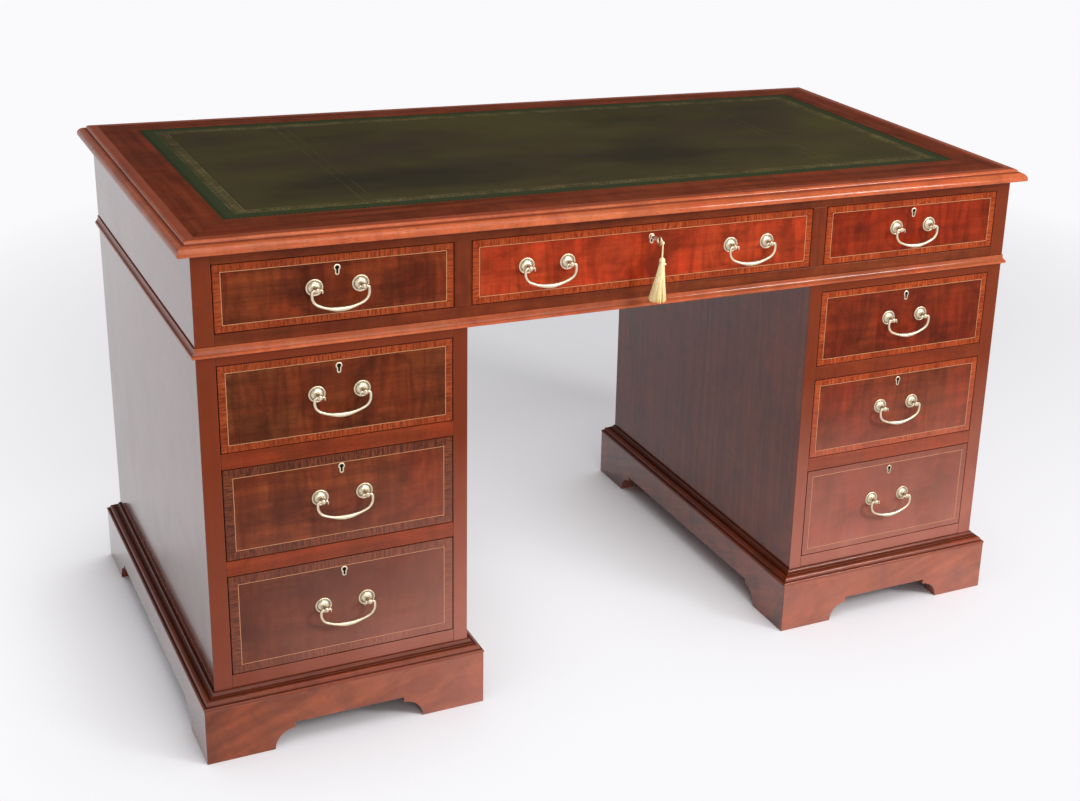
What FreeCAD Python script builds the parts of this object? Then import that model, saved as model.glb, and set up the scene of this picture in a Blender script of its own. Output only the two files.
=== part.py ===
import FreeCAD, Part
import math
import os
import re
from dataclasses import dataclass

import Sketcher

# A mahogany pedestal desk: nine drawers round a kneehole, a moulded top with a leather inset and
# plinths on bracket feet.
# Millimetres. X runs along the front, Y from front to back, Z up; the floor is z = 0 and the front faces -Y.

SIZES = {
    # Case, in the order of the stack from the floor up
    "plinth_height": 87,
    "base_rail": 19.5,
    "bottom_board": 20,
    "lower_opening": 158,
    "middle_opening": 140.5,
    "upper_opening": 129,
    "pedestal_rail": 23.5,
    "pedestal_top_board": 14.5,
    "frieze_bottom_rail": 30.5,
    "frieze_opening": 97.5,
    "frieze_top_rail": 17.5,
    "top_thickness": 19,
    # Case, across and from front to back
    "case_depth": 686,
    "outer_side": 26,
    "inner_side": 22,
    "pedestal_opening": 335,
    "end_opening": 337,
    "muntin": 26,
    "centre_opening": 570,
    "rail_depth": 48,
    "frieze_back": 15,
    "pedestal_back": 12,
    "runner_width": 20,
    "runner_height": 16,
    # Top and its leather
    "top_overhang": 20,
    "edge_flat": 11,
    "edge_moulded": 17.5,
    "edge_ovolo": 5,
    "edge_fillet": 1,
    "edge_thumb_rise": 9,
    "edge_thumb_radius": 12,
    "edge_round": 2,
    "leather_thickness": 1.5,
    "leather_side_border": 66,
    "leather_front_border": 82,
    "leather_back_border": 52,
    # Mouldings round the waist and on the plinths
    "waist_height": 14,
    "waist_projection": 5.6,
    "waist_fillet": 4,
    "waist_neck": 1.4,
    "waist_cove_radius": 9,
    "base_moulding_height": 19,
    "base_bead_rise": 5,
    "base_bead_set": 2,
    "base_bead_radius": 3.2,
    "base_fillet": 1.6,
    "base_ovolo_rise": 7,
    "base_ovolo_run": 6.5,
    "base_ovolo_radius": 7,
    "base_cove_rise": 5,
    "base_cove_run": 5.5,
    "base_cove_radius": 6,
    # Plinths
    "plinth_projection": 19.7,
    "plinth_board": 28,
    "foot_span": 128.5,
    "shoulder_radius": 30,
    "arch_height": 38.5,
    "corner_block": 40,
    "corner_block_lift": 14,
    # Drawers
    "drawer_gap": 1.2,
    "running_clearance": 0.3,
    "front_thickness": 20,
    "drawer_rear_room": 51,
    "drawer_side": 10,
    "drawer_side_drop": 9,
    "drawer_back": 9,
    "drawer_back_drop": 3,
    "drawer_bottom": 6,
    "drawer_bottom_lift": 9,
    "tail_length": 14,
    "tail_width": 19,
    "tail_taper": 2,
    "tail_spacing": 32,
    "stop_length": 40,
    "stop_width": 12,
    "stop_height": 6.5,
    # Handles
    "handle_centres": 64.5,
    "frieze_handle_rise": 3,
    "pedestal_handle_rise": 6,
    "centre_handle_offset": 169,
    "rose_radius": 11.7,
    "rose_rim": 2,
    "rose_thickness": 5,
    "rose_crown": 8,
    "post_reach": 15,
    "post_stem": 2.6,
    "post_head": 4.3,
    "post_head_length": 9.5,
    "post_tail": 5,
    "nut_size": 10,
    "nut_thickness": 3.5,
    "pin_radius": 1.9,
    "pin_clearance": 0.4,
    "pin_inner_reach": 7,
    "bail_grip": 3,
    "arm_offset": 7.7,
    "arm_bend": 3.5,
    "bail_drop": 29.5,
    "bail_shoulder": 16,
    "bail_sweep": 70,
    # Locks, key and tassel
    "lock_width": 56,
    "lock_height": 32,
    "lock_thickness": 14,
    "lock_chamber_radius": 8.5,
    "lock_chamber_depth": 7,
    "keyhole_drop": 19,
    "keyhole_radius": 3,
    "keyhole_slot": 3,
    "keyhole_length": 9,
    "escutcheon_radius": 4.8,
    "escutcheon_leg": 6.6,
    "escutcheon_length": 11,
    "escutcheon_thickness": 0.8,
    "bolt_width": 22,
    "bolt_height": 18,
    "bolt_thickness": 4,
    "bolt_setback": 8,
    "bolt_clearance": 0.3,
    "bolt_throw": 8,
    "key_reach": 34,
    "key_shank_radius": 2.3,
    "key_bow_radius": 8,
    "key_bow_width": 3.2,
    "key_bow_thickness": 3,
    "key_depth": 12.4,
    "key_bit_length": 5,
    "key_bit_reach": 7.4,
    "key_bit_thickness": 2.2,
    "key_clearance": 0.3,
    "knot_radius": 2.6,
    "knot_flat": 1.4,
    "cord_radius": 1.2,
    "cord_length": 32,
    "cord_visible": 20,
    "tassel_head_length": 9,
    "tassel_head_radius": 4.6,
    "tassel_neck_radius": 3.6,
    "tassel_skirt_length": 61,
    "tassel_skirt_radius": 14.5,
}

# Counts that no other size fixes
BAIL_SIDES = 6
HEAD_SIDES = 8
ROUND_SIDES = 10
BOW_SIDES = 12

DOC = FreeCAD.newDocument("PedestalDesk")
SHEET = DOC.addObject("Spreadsheet::Sheet", "Sizes")
for row, (alias, size) in enumerate(SIZES.items(), start=1):
    SHEET.set(f"A{row}", str(size))
    SHEET.setAlias(f"A{row}", alias)
DOC.recompute()

# Places worked out from the sizes, as formulas of the sheet's aliases
CASE_HALF = "(outer_side + end_opening + muntin + centre_opening / 2)"
PEDESTAL_WIDTH = "(outer_side + pedestal_opening + inner_side)"
FRONT = "((key_reach - top_overhang - case_depth) / 2)"
BACK = f"({FRONT} + case_depth)"
MIDDLE = f"({FRONT} + case_depth / 2)"
LOWER_FLOOR = "(plinth_height + base_rail + bottom_board)"
MIDDLE_FLOOR = f"({LOWER_FLOOR} + lower_opening + pedestal_rail)"
UPPER_FLOOR = f"({MIDDLE_FLOOR} + middle_opening + pedestal_rail)"
WAIST = f"({UPPER_FLOOR} + upper_opening + pedestal_top_board)"
FRIEZE_FLOOR = f"({WAIST} + frieze_bottom_rail)"
TOP_UNDERSIDE = f"({FRIEZE_FLOOR} + frieze_opening + frieze_top_rail)"
TOP = f"({TOP_UNDERSIDE} + top_thickness)"
EDGE_WIDTH = "(edge_flat + edge_moulded)"
KEY_AXIS = f"({FRIEZE_FLOOR} + frieze_opening - drawer_gap - keyhole_drop)"
KNOT_Y = f"({FRONT} - key_reach - key_clearance - knot_radius)"

ALIAS = re.compile(r"\b[a-z][a-z_]+\b")


def formula(text):
    """The expression that FreeCAD reads: each alias in the text with the sheet's name in front."""
    return ALIAS.sub(lambda word: f"Sizes.{word[0]}" if word[0] in SIZES else word[0], text)


def value(text):
    """The number that a formula gives at present."""
    return float(SHEET.evalExpression(formula(text)))


def bind(thing, **properties):
    """Ties properties of an object to formulas; x, y and z are the object's place."""
    for name, text in properties.items():
        path = f"Placement.Base.{name}" if name in "xyz" else name
        thing.setExpression(path, formula(str(text)))
    return thing


def board(name, x, y, z):
    """A square-edged board between a low and a high place on each axis."""
    box = DOC.addObject("Part::Box", name)
    bind(box, x=x[0], y=y[0], z=z[0])
    return bind(box, Length=f"{x[1]} - ({x[0]})", Width=f"{y[1]} - ({y[0]})", Height=f"{z[1]} - ({z[0]})")


def prism(name, sides, flat_radius, length, turn):
    """A bar of regular section along Z before its turn, measured over the flats."""
    bar = DOC.addObject("Part::Prism", name)
    bar.Polygon = sides
    bar.Placement.Rotation = turn
    return bind(bar, Circumradius=f"({flat_radius}) / {math.cos(math.pi / sides)}", Height=length)


def cylinder(name, radius, length, turn):
    """A round bar along Z before its turn."""
    bar = DOC.addObject("Part::Cylinder", name)
    bar.Placement.Rotation = turn
    return bind(bar, Radius=radius, Height=length)


def group(name, pieces, **place):
    """Several pieces, kept as separate solids and moved together."""
    compound = DOC.addObject("Part::Compound", name)
    compound.Links = pieces
    return bind(compound, **place)


def fused(name, pieces):
    """One solid made of several."""
    union = DOC.addObject("Part::MultiFuse", name)
    union.Shapes = pieces
    union.Refine = True
    return union


def cut(name, base, tools):
    """A solid less some tools."""
    result = DOC.addObject("Part::Cut", name)
    result.Base = base
    result.Tool = group(f"{name}Tools", tools)
    return result


UP = FreeCAD.Vector(0, 0, 1)
UPRIGHT = FreeCAD.Rotation(0, 0, 0)
ALONG_X = FreeCAD.Rotation(FreeCAD.Vector(0, 1, 0), 90)
OUTWARD = FreeCAD.Rotation(FreeCAD.Vector(1, 0, 0), 90)
# A moulding's profile is drawn as distances out of the case and up
PROFILE_PLANE = FreeCAD.Rotation(FreeCAD.Vector(0, -1, 0), UP, FreeCAD.Vector(-1, 0, 0), "ZXY")


@dataclass
class Corner:
    """A corner of an outline, as formulas. The way to the next corner is straight, or an arc with a radius.

    A bulging arc swells to the right of the way round, which is outwards when the outline runs anticlockwise.
    """

    x: str
    y: str
    radius: str = ""
    bulging: bool = True


def outline(name, corners):
    """A closed sketch of a moulding's profile, each corner held by its two distances from the origin."""
    sketch = DOC.addObject("Sketcher::SketchObject", name)
    sketch.Placement.Rotation = PROFILE_PLANE
    points = [FreeCAD.Vector(value(corner.x), value(corner.y), 0) for corner in corners]
    ends = []
    for corner, start, end in zip(corners, points, points[1:] + points[:1]):
        if corner.radius:
            ends.append(add_arc(sketch, start, end, corner))
        else:
            sketch.addGeometry(Part.LineSegment(start, end))
            ends.append((1, 2))
    for index, corner in enumerate(corners):
        following = (index + 1) % len(corners)
        sketch.addConstraint(
            Sketcher.Constraint("Coincident", index, ends[index][1], following, ends[following][0])
        )
        hold(sketch, "DistanceX", index, ends[index][0], corner.x, -2)
        hold(sketch, "DistanceY", index, ends[index][0], corner.y, -1)
    return sketch


def add_arc(sketch, start, end, corner):
    """Adds the arc from one point to the next, and says which of its ends comes first on the way round."""
    radius = value(corner.radius)
    chord = end - start
    left = FreeCAD.Vector(-chord.y, chord.x, 0).normalize()
    offset = math.sqrt(radius**2 - (chord.Length / 2) ** 2)
    centre = (start + end) * 0.5 + left * (offset if corner.bulging else -offset)
    first, last = (start, end) if corner.bulging else (end, start)
    angles = [math.atan2(point.y - centre.y, point.x - centre.x) for point in (first, last)]
    edge = sketch.addGeometry(Part.ArcOfCircle(Part.Circle(centre, UP, radius), *angles))
    number = sketch.addConstraint(Sketcher.Constraint("Radius", edge, radius))
    sketch.setExpression(f"Constraints[{number}]", formula(corner.radius))
    return (1, 2) if corner.bulging else (2, 1)


def hold(sketch, kind, edge, point, text, axis):
    """Fixes one distance of a point from the sketch's origin, or puts the point on the axis where it is 0."""
    if text == "0":
        sketch.addConstraint(Sketcher.Constraint("PointOnObject", edge, point, axis))
        return
    number = sketch.addConstraint(Sketcher.Constraint(kind, -1, 1, edge, point, value(text)))
    sketch.setExpression(f"Constraints[{number}]", formula(text))


def faceted(name, rings):
    """A solid of flat facets through rings of as many corners each, closed by a flat face at both ends."""
    faces = [Part.Face(Part.makePolygon([*end, end[0]])) for end in (rings[0], rings[-1])]
    for ring, following in zip(rings, rings[1:]):
        for corner in range(len(ring)):
            beside = (corner + 1) % len(ring)
            for third, fourth in ((following[beside], ring[beside]), (following[corner], following[beside])):
                loop = [ring[corner], third, fourth, ring[corner]]
                faces.append(Part.Face(Part.makePolygon(loop)))
    solid = Part.makeSolid(Part.makeShell(faces))
    if solid.Volume < 0:
        solid.reverse()
    feature = DOC.addObject("Part::Feature", name)
    feature.Shape = solid
    return feature


def turned(name, stations):
    """A faceted turning about the Z axis through stations of a radius and a height each."""
    spins = [2 * math.pi * corner / ROUND_SIDES for corner in range(ROUND_SIDES)]
    rings = []
    for radius, height in stations:
        out, up = value(radius), value(height)
        rings.append([FreeCAD.Vector(out * math.cos(spin), out * math.sin(spin), up) for spin in spins])
    return faceted(name, rings)


# Frames of mitred lengths

SIDE_TURNS = {"front": 0, "right": 90, "back": 180, "left": 270}


@dataclass
class Rectangle:
    """The inner rectangle that a mitred frame goes round, as formulas."""

    centre_x: str
    half_x: str
    half_y: str

    def length(self, side):
        """The inner length of a side."""
        return f"(2 * {self.half_x if side in ('front', 'back') else self.half_y})"

    def place(self, side):
        """The middle of a side, as formulas for x and y."""
        if side in ("front", "back"):
            sign = "-" if side == "front" else "+"
            return {"x": self.centre_x, "y": f"{MIDDLE} {sign} {self.half_y}"}
        sign = "-" if side == "left" else "+"
        return {"x": f"{self.centre_x} {sign} {self.half_x}", "y": MIDDLE}


def mitred_blank(name, length, width, height):
    """A length along X with its outer face at y = -width, cut at 45 degrees at both ends."""
    blank = DOC.addObject("Part::Wedge", name)
    right = f"{length} / 2"
    bind(blank, Xmin=f"-{right} - {width}", Xmax=f"{right} + {width}", X2min=f"-{right}", X2max=right)
    bind(blank, Ymin=f"-{width}", Ymax=0, Zmin=0, Z2min=0, Zmax=height, Z2max=height)
    return blank


def moulding_frame(name, profile, rectangle, sides, width, height, z):
    """Lengths of one profile, mitred where they meet, round a rectangle."""
    lengths = []
    for side in sides:
        tag = f"{name}{side.title()}"
        run = DOC.addObject("Part::Extrusion", f"{tag}Run")
        run.Base = profile
        run.DirMode = "Normal"
        run.Symmetric = True
        run.Solid = True
        bind(run, LengthFwd=f"{rectangle.length(side)} + 2 * {width}")
        length = DOC.addObject("Part::Common", tag)
        length.Base = run
        length.Tool = mitred_blank(f"{tag}Blank", rectangle.length(side), width, height)
        length.Placement.Rotation = FreeCAD.Rotation(UP, SIDE_TURNS[side])
        lengths.append(bind(length, z=z, **rectangle.place(side)))
    return lengths


# Drawers

@dataclass
class Opening:
    """The hole in the case that one drawer fills, as formulas."""

    name: str
    left: str
    width: str
    floor: str
    height: str
    row: str
    handle_rise: str
    handle_offsets: tuple = ("0",)

    @property
    def centre(self):
        """The middle of the opening across the front."""
        return f"({self.left} + {self.width} / 2)"

    @property
    def right(self):
        """The right side of the opening."""
        return f"({self.left} + {self.width})"

    @property
    def handle_height(self):
        """The height of the handle's posts."""
        return f"({self.floor} + {self.height} / 2 + {self.handle_rise})"

    @property
    def front_top(self):
        """The top edge of the drawer's front."""
        return f"({self.floor} + {self.height} - drawer_gap)"


def frieze_opening(name, left, width, handle_offsets=("0",)):
    """An opening in the row under the top."""
    return Opening(
        name, left, width, FRIEZE_FLOOR, "frieze_opening", "frieze", "frieze_handle_rise", handle_offsets
    )


def pedestal_openings(side, left):
    """The three openings of one pedestal, the tallest at the bottom."""
    rows = (("upper", UPPER_FLOOR), ("middle", MIDDLE_FLOOR), ("lower", LOWER_FLOOR))
    return [
        Opening(
            f"{side}_{row}", left, "pedestal_opening", floor, f"{row}_opening", row, "pedestal_handle_rise"
        )
        for row, floor in rows
    ]


PEDESTAL_LEFT = {"left": f"(-{CASE_HALF})", "right": f"({CASE_HALF} - {PEDESTAL_WIDTH})"}
OPENING_LEFT = {
    "left": f"({PEDESTAL_LEFT['left']} + outer_side)",
    "right": f"({PEDESTAL_LEFT['right']} + inner_side)",
}
OPENINGS = [
    frieze_opening("frieze_left", f"(-{CASE_HALF} + outer_side)", "end_opening"),
    frieze_opening(
        "frieze_centre",
        "(-centre_opening / 2)",
        "centre_opening",
        ("-centre_handle_offset", "centre_handle_offset"),
    ),
    frieze_opening("frieze_right", "(centre_opening / 2 + muntin)", "end_opening"),
    *pedestal_openings("left", OPENING_LEFT["left"]),
    *pedestal_openings("right", OPENING_LEFT["right"]),
]
DRAWER_END = f"({BACK} - frieze_back - drawer_rear_room)"
FRONT_REAR = f"({FRONT} + front_thickness)"


def side_span(opening):
    """The bottom and top of a drawer's sides."""
    return (
        f"({opening.floor} + running_clearance)",
        f"({opening.floor} + {opening.height} - drawer_side_drop)",
    )


def drawer_tails(opening, hand, x):
    """The dovetails at the front end of one drawer side, wider at the tip than at the root."""
    bottom, top = side_span(opening)
    count = round(value(f"({top} - {bottom}) / tail_spacing"))
    tails = []
    for index in range(count):
        tail = DOC.addObject("Part::Wedge", f"Tail_{opening.name}_{hand}_{index}")
        bind(tail, Xmin=0, X2min=0, Xmax="drawer_side", X2max="drawer_side", Ymin=0, Ymax="tail_length")
        bind(tail, Zmin=0, Zmax="tail_width", Z2min="tail_taper", Z2max="tail_width - tail_taper")
        middle = f"{bottom} + ({top} - {bottom}) * {(index + 0.5) / count}"
        bind(tail, x=x, y=f"{FRONT_REAR} - tail_length", z=f"{middle} - tail_width / 2")
        tails.append(tail)
    return tails


def drawer_box(opening, tails):
    """The drawer's two dovetailed sides, its bottom and its back."""
    bottom, top = side_span(opening)
    inner = (f"{opening.left} + drawer_gap + drawer_side", f"{opening.right} - drawer_gap - drawer_side")
    outer = (f"{opening.left} + drawer_gap", f"{opening.right} - drawer_gap")
    panel = f"{bottom} + drawer_bottom_lift"
    pieces = []
    for hand, x in (("left", (outer[0], inner[0])), ("right", (inner[1], outer[1]))):
        plank = board(f"Plank_{opening.name}_{hand}", x, (FRONT_REAR, DRAWER_END), (bottom, top))
        pieces.append(fused(f"Side_{opening.name}_{hand}", [plank, *tails[hand]]))
    depth = (FRONT_REAR, DRAWER_END)
    pieces.append(board(f"Bottom_{opening.name}", inner, depth, (panel, f"{panel} + drawer_bottom")))
    back = (f"{DRAWER_END} - drawer_back", DRAWER_END)
    pieces.append(
        board(f"Back_{opening.name}", inner, back, (f"{panel} + drawer_bottom", f"{top} - drawer_back_drop"))
    )
    return group(f"box_{opening.name}", pieces)


def drawer_front(opening, tails, holes):
    """The drawer's front, with sockets for the tails and holes for its brasses."""
    across = (f"{opening.left} + drawer_gap", f"{opening.right} - drawer_gap")
    up = (f"{opening.floor} + drawer_gap", opening.front_top)
    blank = board(f"Blank_{opening.name}", across, (FRONT, FRONT_REAR), up)
    return cut(f"front_{opening.name}", blank, [*tails["left"], *tails["right"], *holes])


# Brasses, each made once with its origin on the drawer's face, and set in place as often as it is needed

def rose_pattern():
    """A round backplate with a rim, a raised crown and a hole for the post."""
    rim = prism("RoseRim", ROUND_SIDES, "rose_radius", "rose_rim", OUTWARD)
    crown = prism("RoseCrown", ROUND_SIDES, "rose_crown", "rose_thickness", OUTWARD)
    return cut("RosePattern", fused("RoseBlank", [rim, crown]), [STEM])


def post_pattern():
    """A post with its square stem through the front, and a head bored for the bail's pin."""
    head = prism("PostHead", HEAD_SIDES, "post_head", "post_head_length", OUTWARD)
    bore = prism("PostBore", BAIL_SIDES, "pin_radius + pin_clearance", "4 * post_head", ALONG_X)
    bind(head, y="-post_reach + post_head_length / 2")
    bind(bore, x="-2 * post_head", y="-post_reach")
    return cut("PostPattern", fused("PostBlank", [STEM, head]), [bore])


def nut_pattern():
    """A square nut on the back of the front."""
    side = ("-nut_size / 2", "nut_size / 2")
    blank = board("NutBlank", side, ("front_thickness", "front_thickness + nut_thickness"), side)
    return cut("NutPattern", blank, [STEM])


def keyhole(name, radius, slot, length, depth, start):
    """A keyhole-shaped bar, a round top over a straight leg, from a place behind the face outwards."""
    round_part = prism(f"{name}Round", HEAD_SIDES, radius, depth, OUTWARD)
    bind(round_part, y=start)
    across = (f"-{slot} / 2", f"{slot} / 2")
    leg = board(f"{name}Leg", across, (f"{start} - ({depth})", start), (f"-{length}", "0"))
    return fused(name, [round_part, leg])


def escutcheon_pattern():
    """A thin keyhole plate on the drawer's face."""
    plate = keyhole(
        "EscutcheonPlate",
        "escutcheon_radius",
        "escutcheon_leg",
        "escutcheon_length",
        "escutcheon_thickness",
        "0",
    )
    return cut("EscutcheonPattern", plate, [KEYHOLE])


def lock_pattern(name, chambered):
    """A lock case let into the back of the front. A chambered one has room for the key's bit and a bolt."""
    top = "keyhole_drop"
    depth = ("front_thickness - lock_thickness", "front_thickness")
    across = ("-lock_width / 2", "lock_width / 2")
    case = board(f"{name}Case", across, depth, (f"{top} - lock_height", top))
    if not chambered:
        return case
    chamber = cylinder(f"{name}Chamber", "lock_chamber_radius", "lock_chamber_depth", OUTWARD)
    bind(chamber, y="front_thickness - lock_thickness + lock_chamber_depth")
    setback = "front_thickness - lock_thickness + bolt_setback - bolt_clearance"
    slot = board(
        f"{name}Slot",
        ("-bolt_width / 2 - bolt_clearance", "bolt_width / 2 + bolt_clearance"),
        (setback, f"{setback} + bolt_thickness + 2 * bolt_clearance"),
        (f"{top} - bolt_height - 2 * bolt_clearance", f"{top} + bolt_throw"),
    )
    return cut(f"{name}Pattern", case, [chamber, slot])


def bail_pattern():
    """A swan-neck bail, thickest in the middle, with its origin midway between the pins that it hangs from.

    Its centre line is one wide sweep, then a shoulder, a bend and a pin on each side. Each of these arcs is a
    centre (out from the middle, down from the pins) and a radius. A place on an arc is an angle in degrees,
    0 at the lowest point of the bail and 180 at the pins.
    """
    half = "(handle_centres / 2 + arm_offset)"
    rise = f"sqrt((bail_sweep - bail_shoulder)^2 - ({half} - bail_shoulder)^2)"
    lean = f"(asin(({half} - bail_shoulder) / (bail_sweep - bail_shoulder)) / 1 deg)"
    sweep = ("0", "bail_drop - bail_sweep", "bail_sweep")
    shoulder = (f"{half} - bail_shoulder", f"bail_drop - bail_sweep + {rise}", "bail_shoulder")
    bend = (f"{half} - arm_bend", "arm_bend", "arm_bend")
    pin = ("handle_centres / 2 - pin_inner_reach", "arm_bend", "arm_bend")
    stations = [
        (sweep, f"{lean} / 2", "(bail_grip + pin_radius) / 2"),
        (sweep, lean, "pin_radius"),
        (shoulder, f"({lean} + 90) / 2", "pin_radius"),
        (shoulder, "90", "pin_radius"),
        (bend, "90", "pin_radius"),
        (bend, "135", "pin_radius"),
        (bend, "180", "pin_radius"),
        (pin, "180", "pin_radius"),
    ]
    left = [bail_ring(-1, *station) for station in stations]
    right = [bail_ring(1, *station) for station in stations]
    middle = bail_ring(1, sweep, "0", "bail_grip")
    return faceted("BailPattern", [*reversed(left), middle, *right])


def bail_ring(side, arc, angle, radius):
    """The corners round the bail's centre line at an angle of one of its arcs, left (-1) or right (1)."""
    out, down, sweep = (value(text) for text in arc)
    turn = math.radians(value(angle))
    outward = FreeCAD.Vector(side * math.sin(turn), 0, -math.cos(turn))
    across = FreeCAD.Vector(0, 1, 0)
    centre = FreeCAD.Vector(side * out, 0, -down) + outward * sweep
    spins = [2 * math.pi * corner / BAIL_SIDES for corner in range(BAIL_SIDES)]
    return [centre + (outward * math.cos(spin) + across * math.sin(spin)) * value(radius) for spin in spins]


def handle_set(name, pieces, x, z):
    """A pair of posts, roses and nuts."""
    pairs = []
    for hand, sign in (("left", "-"), ("right", "+")):
        place = {"x": f"{x} {sign} handle_centres / 2", "y": FRONT, "z": z}
        pairs.append(group(f"{name}_{hand}", pieces, **place))
    return pairs


def brasses(opening, patterns, lock):
    """A drawer's roses, posts, nuts, escutcheon and lock."""
    pieces = []
    for index, offset in enumerate(opening.handle_offsets):
        x = f"{opening.centre} + ({offset})"
        pieces += handle_set(f"Handle_{opening.name}_{index}", patterns, x, opening.handle_height)
    key_height = f"{opening.front_top} - keyhole_drop"
    fittings = [ESCUTCHEON, lock]
    pieces.append(group(f"Fittings_{opening.name}", fittings, x=opening.centre, y=FRONT, z=key_height))
    return group(f"brasses_{opening.name}", pieces)


def front_holes(opening):
    """The tools that make room in a front for its posts and lock, and for the key where there is one."""
    tools = []
    for index, offset in enumerate(opening.handle_offsets):
        x = f"{opening.centre} + ({offset})"
        tools += handle_set(f"Holes_{opening.name}_{index}", [STEM], x, opening.handle_height)
    key_height = f"{opening.front_top} - keyhole_drop"
    fittings = [LOCK_ROOM, KEYHOLE] if opening.name == "frieze_centre" else [LOCK_ROOM]
    tools.append(group(f"Room_{opening.name}", fittings, x=opening.centre, y=FRONT, z=key_height))
    return tools


def bolt_mortise(opening):
    """The slot for the lock's bolt in the rail above a drawer."""
    half = "(bolt_width / 2 + 2 * bolt_clearance)"
    start = f"{FRONT_REAR} - lock_thickness + bolt_setback - 2 * bolt_clearance"
    ceiling = f"{opening.floor} + {opening.height}"
    return board(
        f"Mortise_{opening.name}",
        (f"{opening.centre} - {half}", f"{opening.centre} + {half}"),
        (start, f"{start} + bolt_thickness + 4 * bolt_clearance"),
        (ceiling, f"{ceiling} + bolt_throw"),
    )


def place_of(name):
    """The opening with a name."""
    return next(opening for opening in OPENINGS if opening.name == name)


# Case

def build_top():
    """The top board with its recess, the leather in it and the four moulded edges."""
    half_x = f"({CASE_HALF} + top_overhang - {EDGE_WIDTH})"
    half_y = f"(case_depth / 2 + top_overhang - {EDGE_WIDTH})"
    across = (f"-{half_x}", half_x)
    depth = (f"{MIDDLE} - {half_y}", f"{MIDDLE} + {half_y}")
    blank = board("TopBlank", across, depth, (TOP_UNDERSIDE, TOP))
    leather_half = f"({half_x} + edge_flat - leather_side_border)"
    leather_x = (f"-{leather_half}", leather_half)
    leather_front = f"{depth[0]} - edge_flat + leather_front_border"
    leather_y = (leather_front, f"{depth[1]} + edge_flat - leather_back_border")
    leather = board("leather_inset", leather_x, leather_y, (f"{TOP} - leather_thickness", TOP))
    thumb_foot = "top_thickness - edge_ovolo - edge_thumb_rise"
    profile = outline(
        "EdgeProfile",
        [
            Corner("0", "0"),
            Corner(f"{EDGE_WIDTH} - edge_round", "0", "edge_round"),
            Corner(EDGE_WIDTH, "edge_round"),
            Corner(EDGE_WIDTH, thumb_foot, "edge_thumb_radius"),
            Corner("edge_flat + edge_ovolo + edge_fillet", "top_thickness - edge_ovolo"),
            Corner("edge_flat + edge_ovolo", "top_thickness - edge_ovolo", "edge_ovolo"),
            Corner("edge_flat", "top_thickness"),
            Corner("0", "top_thickness"),
        ],
    )
    rectangle = Rectangle("0", half_x, half_y)
    edges = moulding_frame("Edge", profile, rectangle, SIDE_TURNS, EDGE_WIDTH, "top_thickness", TOP_UNDERSIDE)
    return [cut("top_panel", blank, [leather]), leather, group("top_edge_mouldings", edges)]


def build_frieze():
    """The upper case: ends, back, front rails with muntins, and the runners that the drawers slide on."""
    height = (WAIST, TOP_UNDERSIDE)
    ends = [
        board("FriezeLeft", (f"-{CASE_HALF}", f"-{CASE_HALF} + outer_side"), (FRONT, BACK), height),
        board("FriezeRight", (f"{CASE_HALF} - outer_side", CASE_HALF), (FRONT, BACK), height),
    ]
    inside = (f"-{CASE_HALF} + outer_side", f"{CASE_HALF} - outer_side")
    back = board("frieze_back", inside, (f"{BACK} - frieze_back", BACK), height)
    front_depth = (FRONT, f"{FRONT} + rail_depth")
    upper = board("UpperRail", inside, front_depth, (f"{FRIEZE_FLOOR} + frieze_opening", TOP_UNDERSIDE))
    row = [opening for opening in OPENINGS if opening.row == "frieze"]
    rails = [
        cut("BoredUpperRail", upper, [bolt_mortise(opening) for opening in row]),
        board("LowerRail", inside, front_depth, (WAIST, FRIEZE_FLOOR)),
    ]
    rear_depth = (f"{FRONT} + rail_depth", f"{BACK} - frieze_back")
    runner_z = (f"{FRIEZE_FLOOR} - runner_height", FRIEZE_FLOOR)
    runners = []
    for opening in row[:2]:
        muntin = (opening.right, f"{opening.right} + muntin")
        opening_z = (FRIEZE_FLOOR, f"{FRIEZE_FLOOR} + frieze_opening")
        rails.append(board(f"Muntin_{opening.name}", muntin, front_depth, opening_z))
        runners.append(board(f"Partition_{opening.name}", muntin, rear_depth, (WAIST, TOP_UNDERSIDE)))
    for opening in row:
        runners += runner_pair(opening, rear_depth, runner_z)
    return [
        group("frieze_sides", ends),
        back,
        group("frieze_rails", rails),
        group("frieze_drawer_runners", runners),
    ]


def runner_pair(opening, depth, z):
    """The two strips that carry a drawer's sides."""
    left = (opening.left, f"{opening.left} + runner_width")
    right = (f"{opening.right} - runner_width", opening.right)
    return [
        board(f"RunnerLeft_{opening.name}", left, depth, z),
        board(f"RunnerRight_{opening.name}", right, depth, z),
    ]


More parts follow.
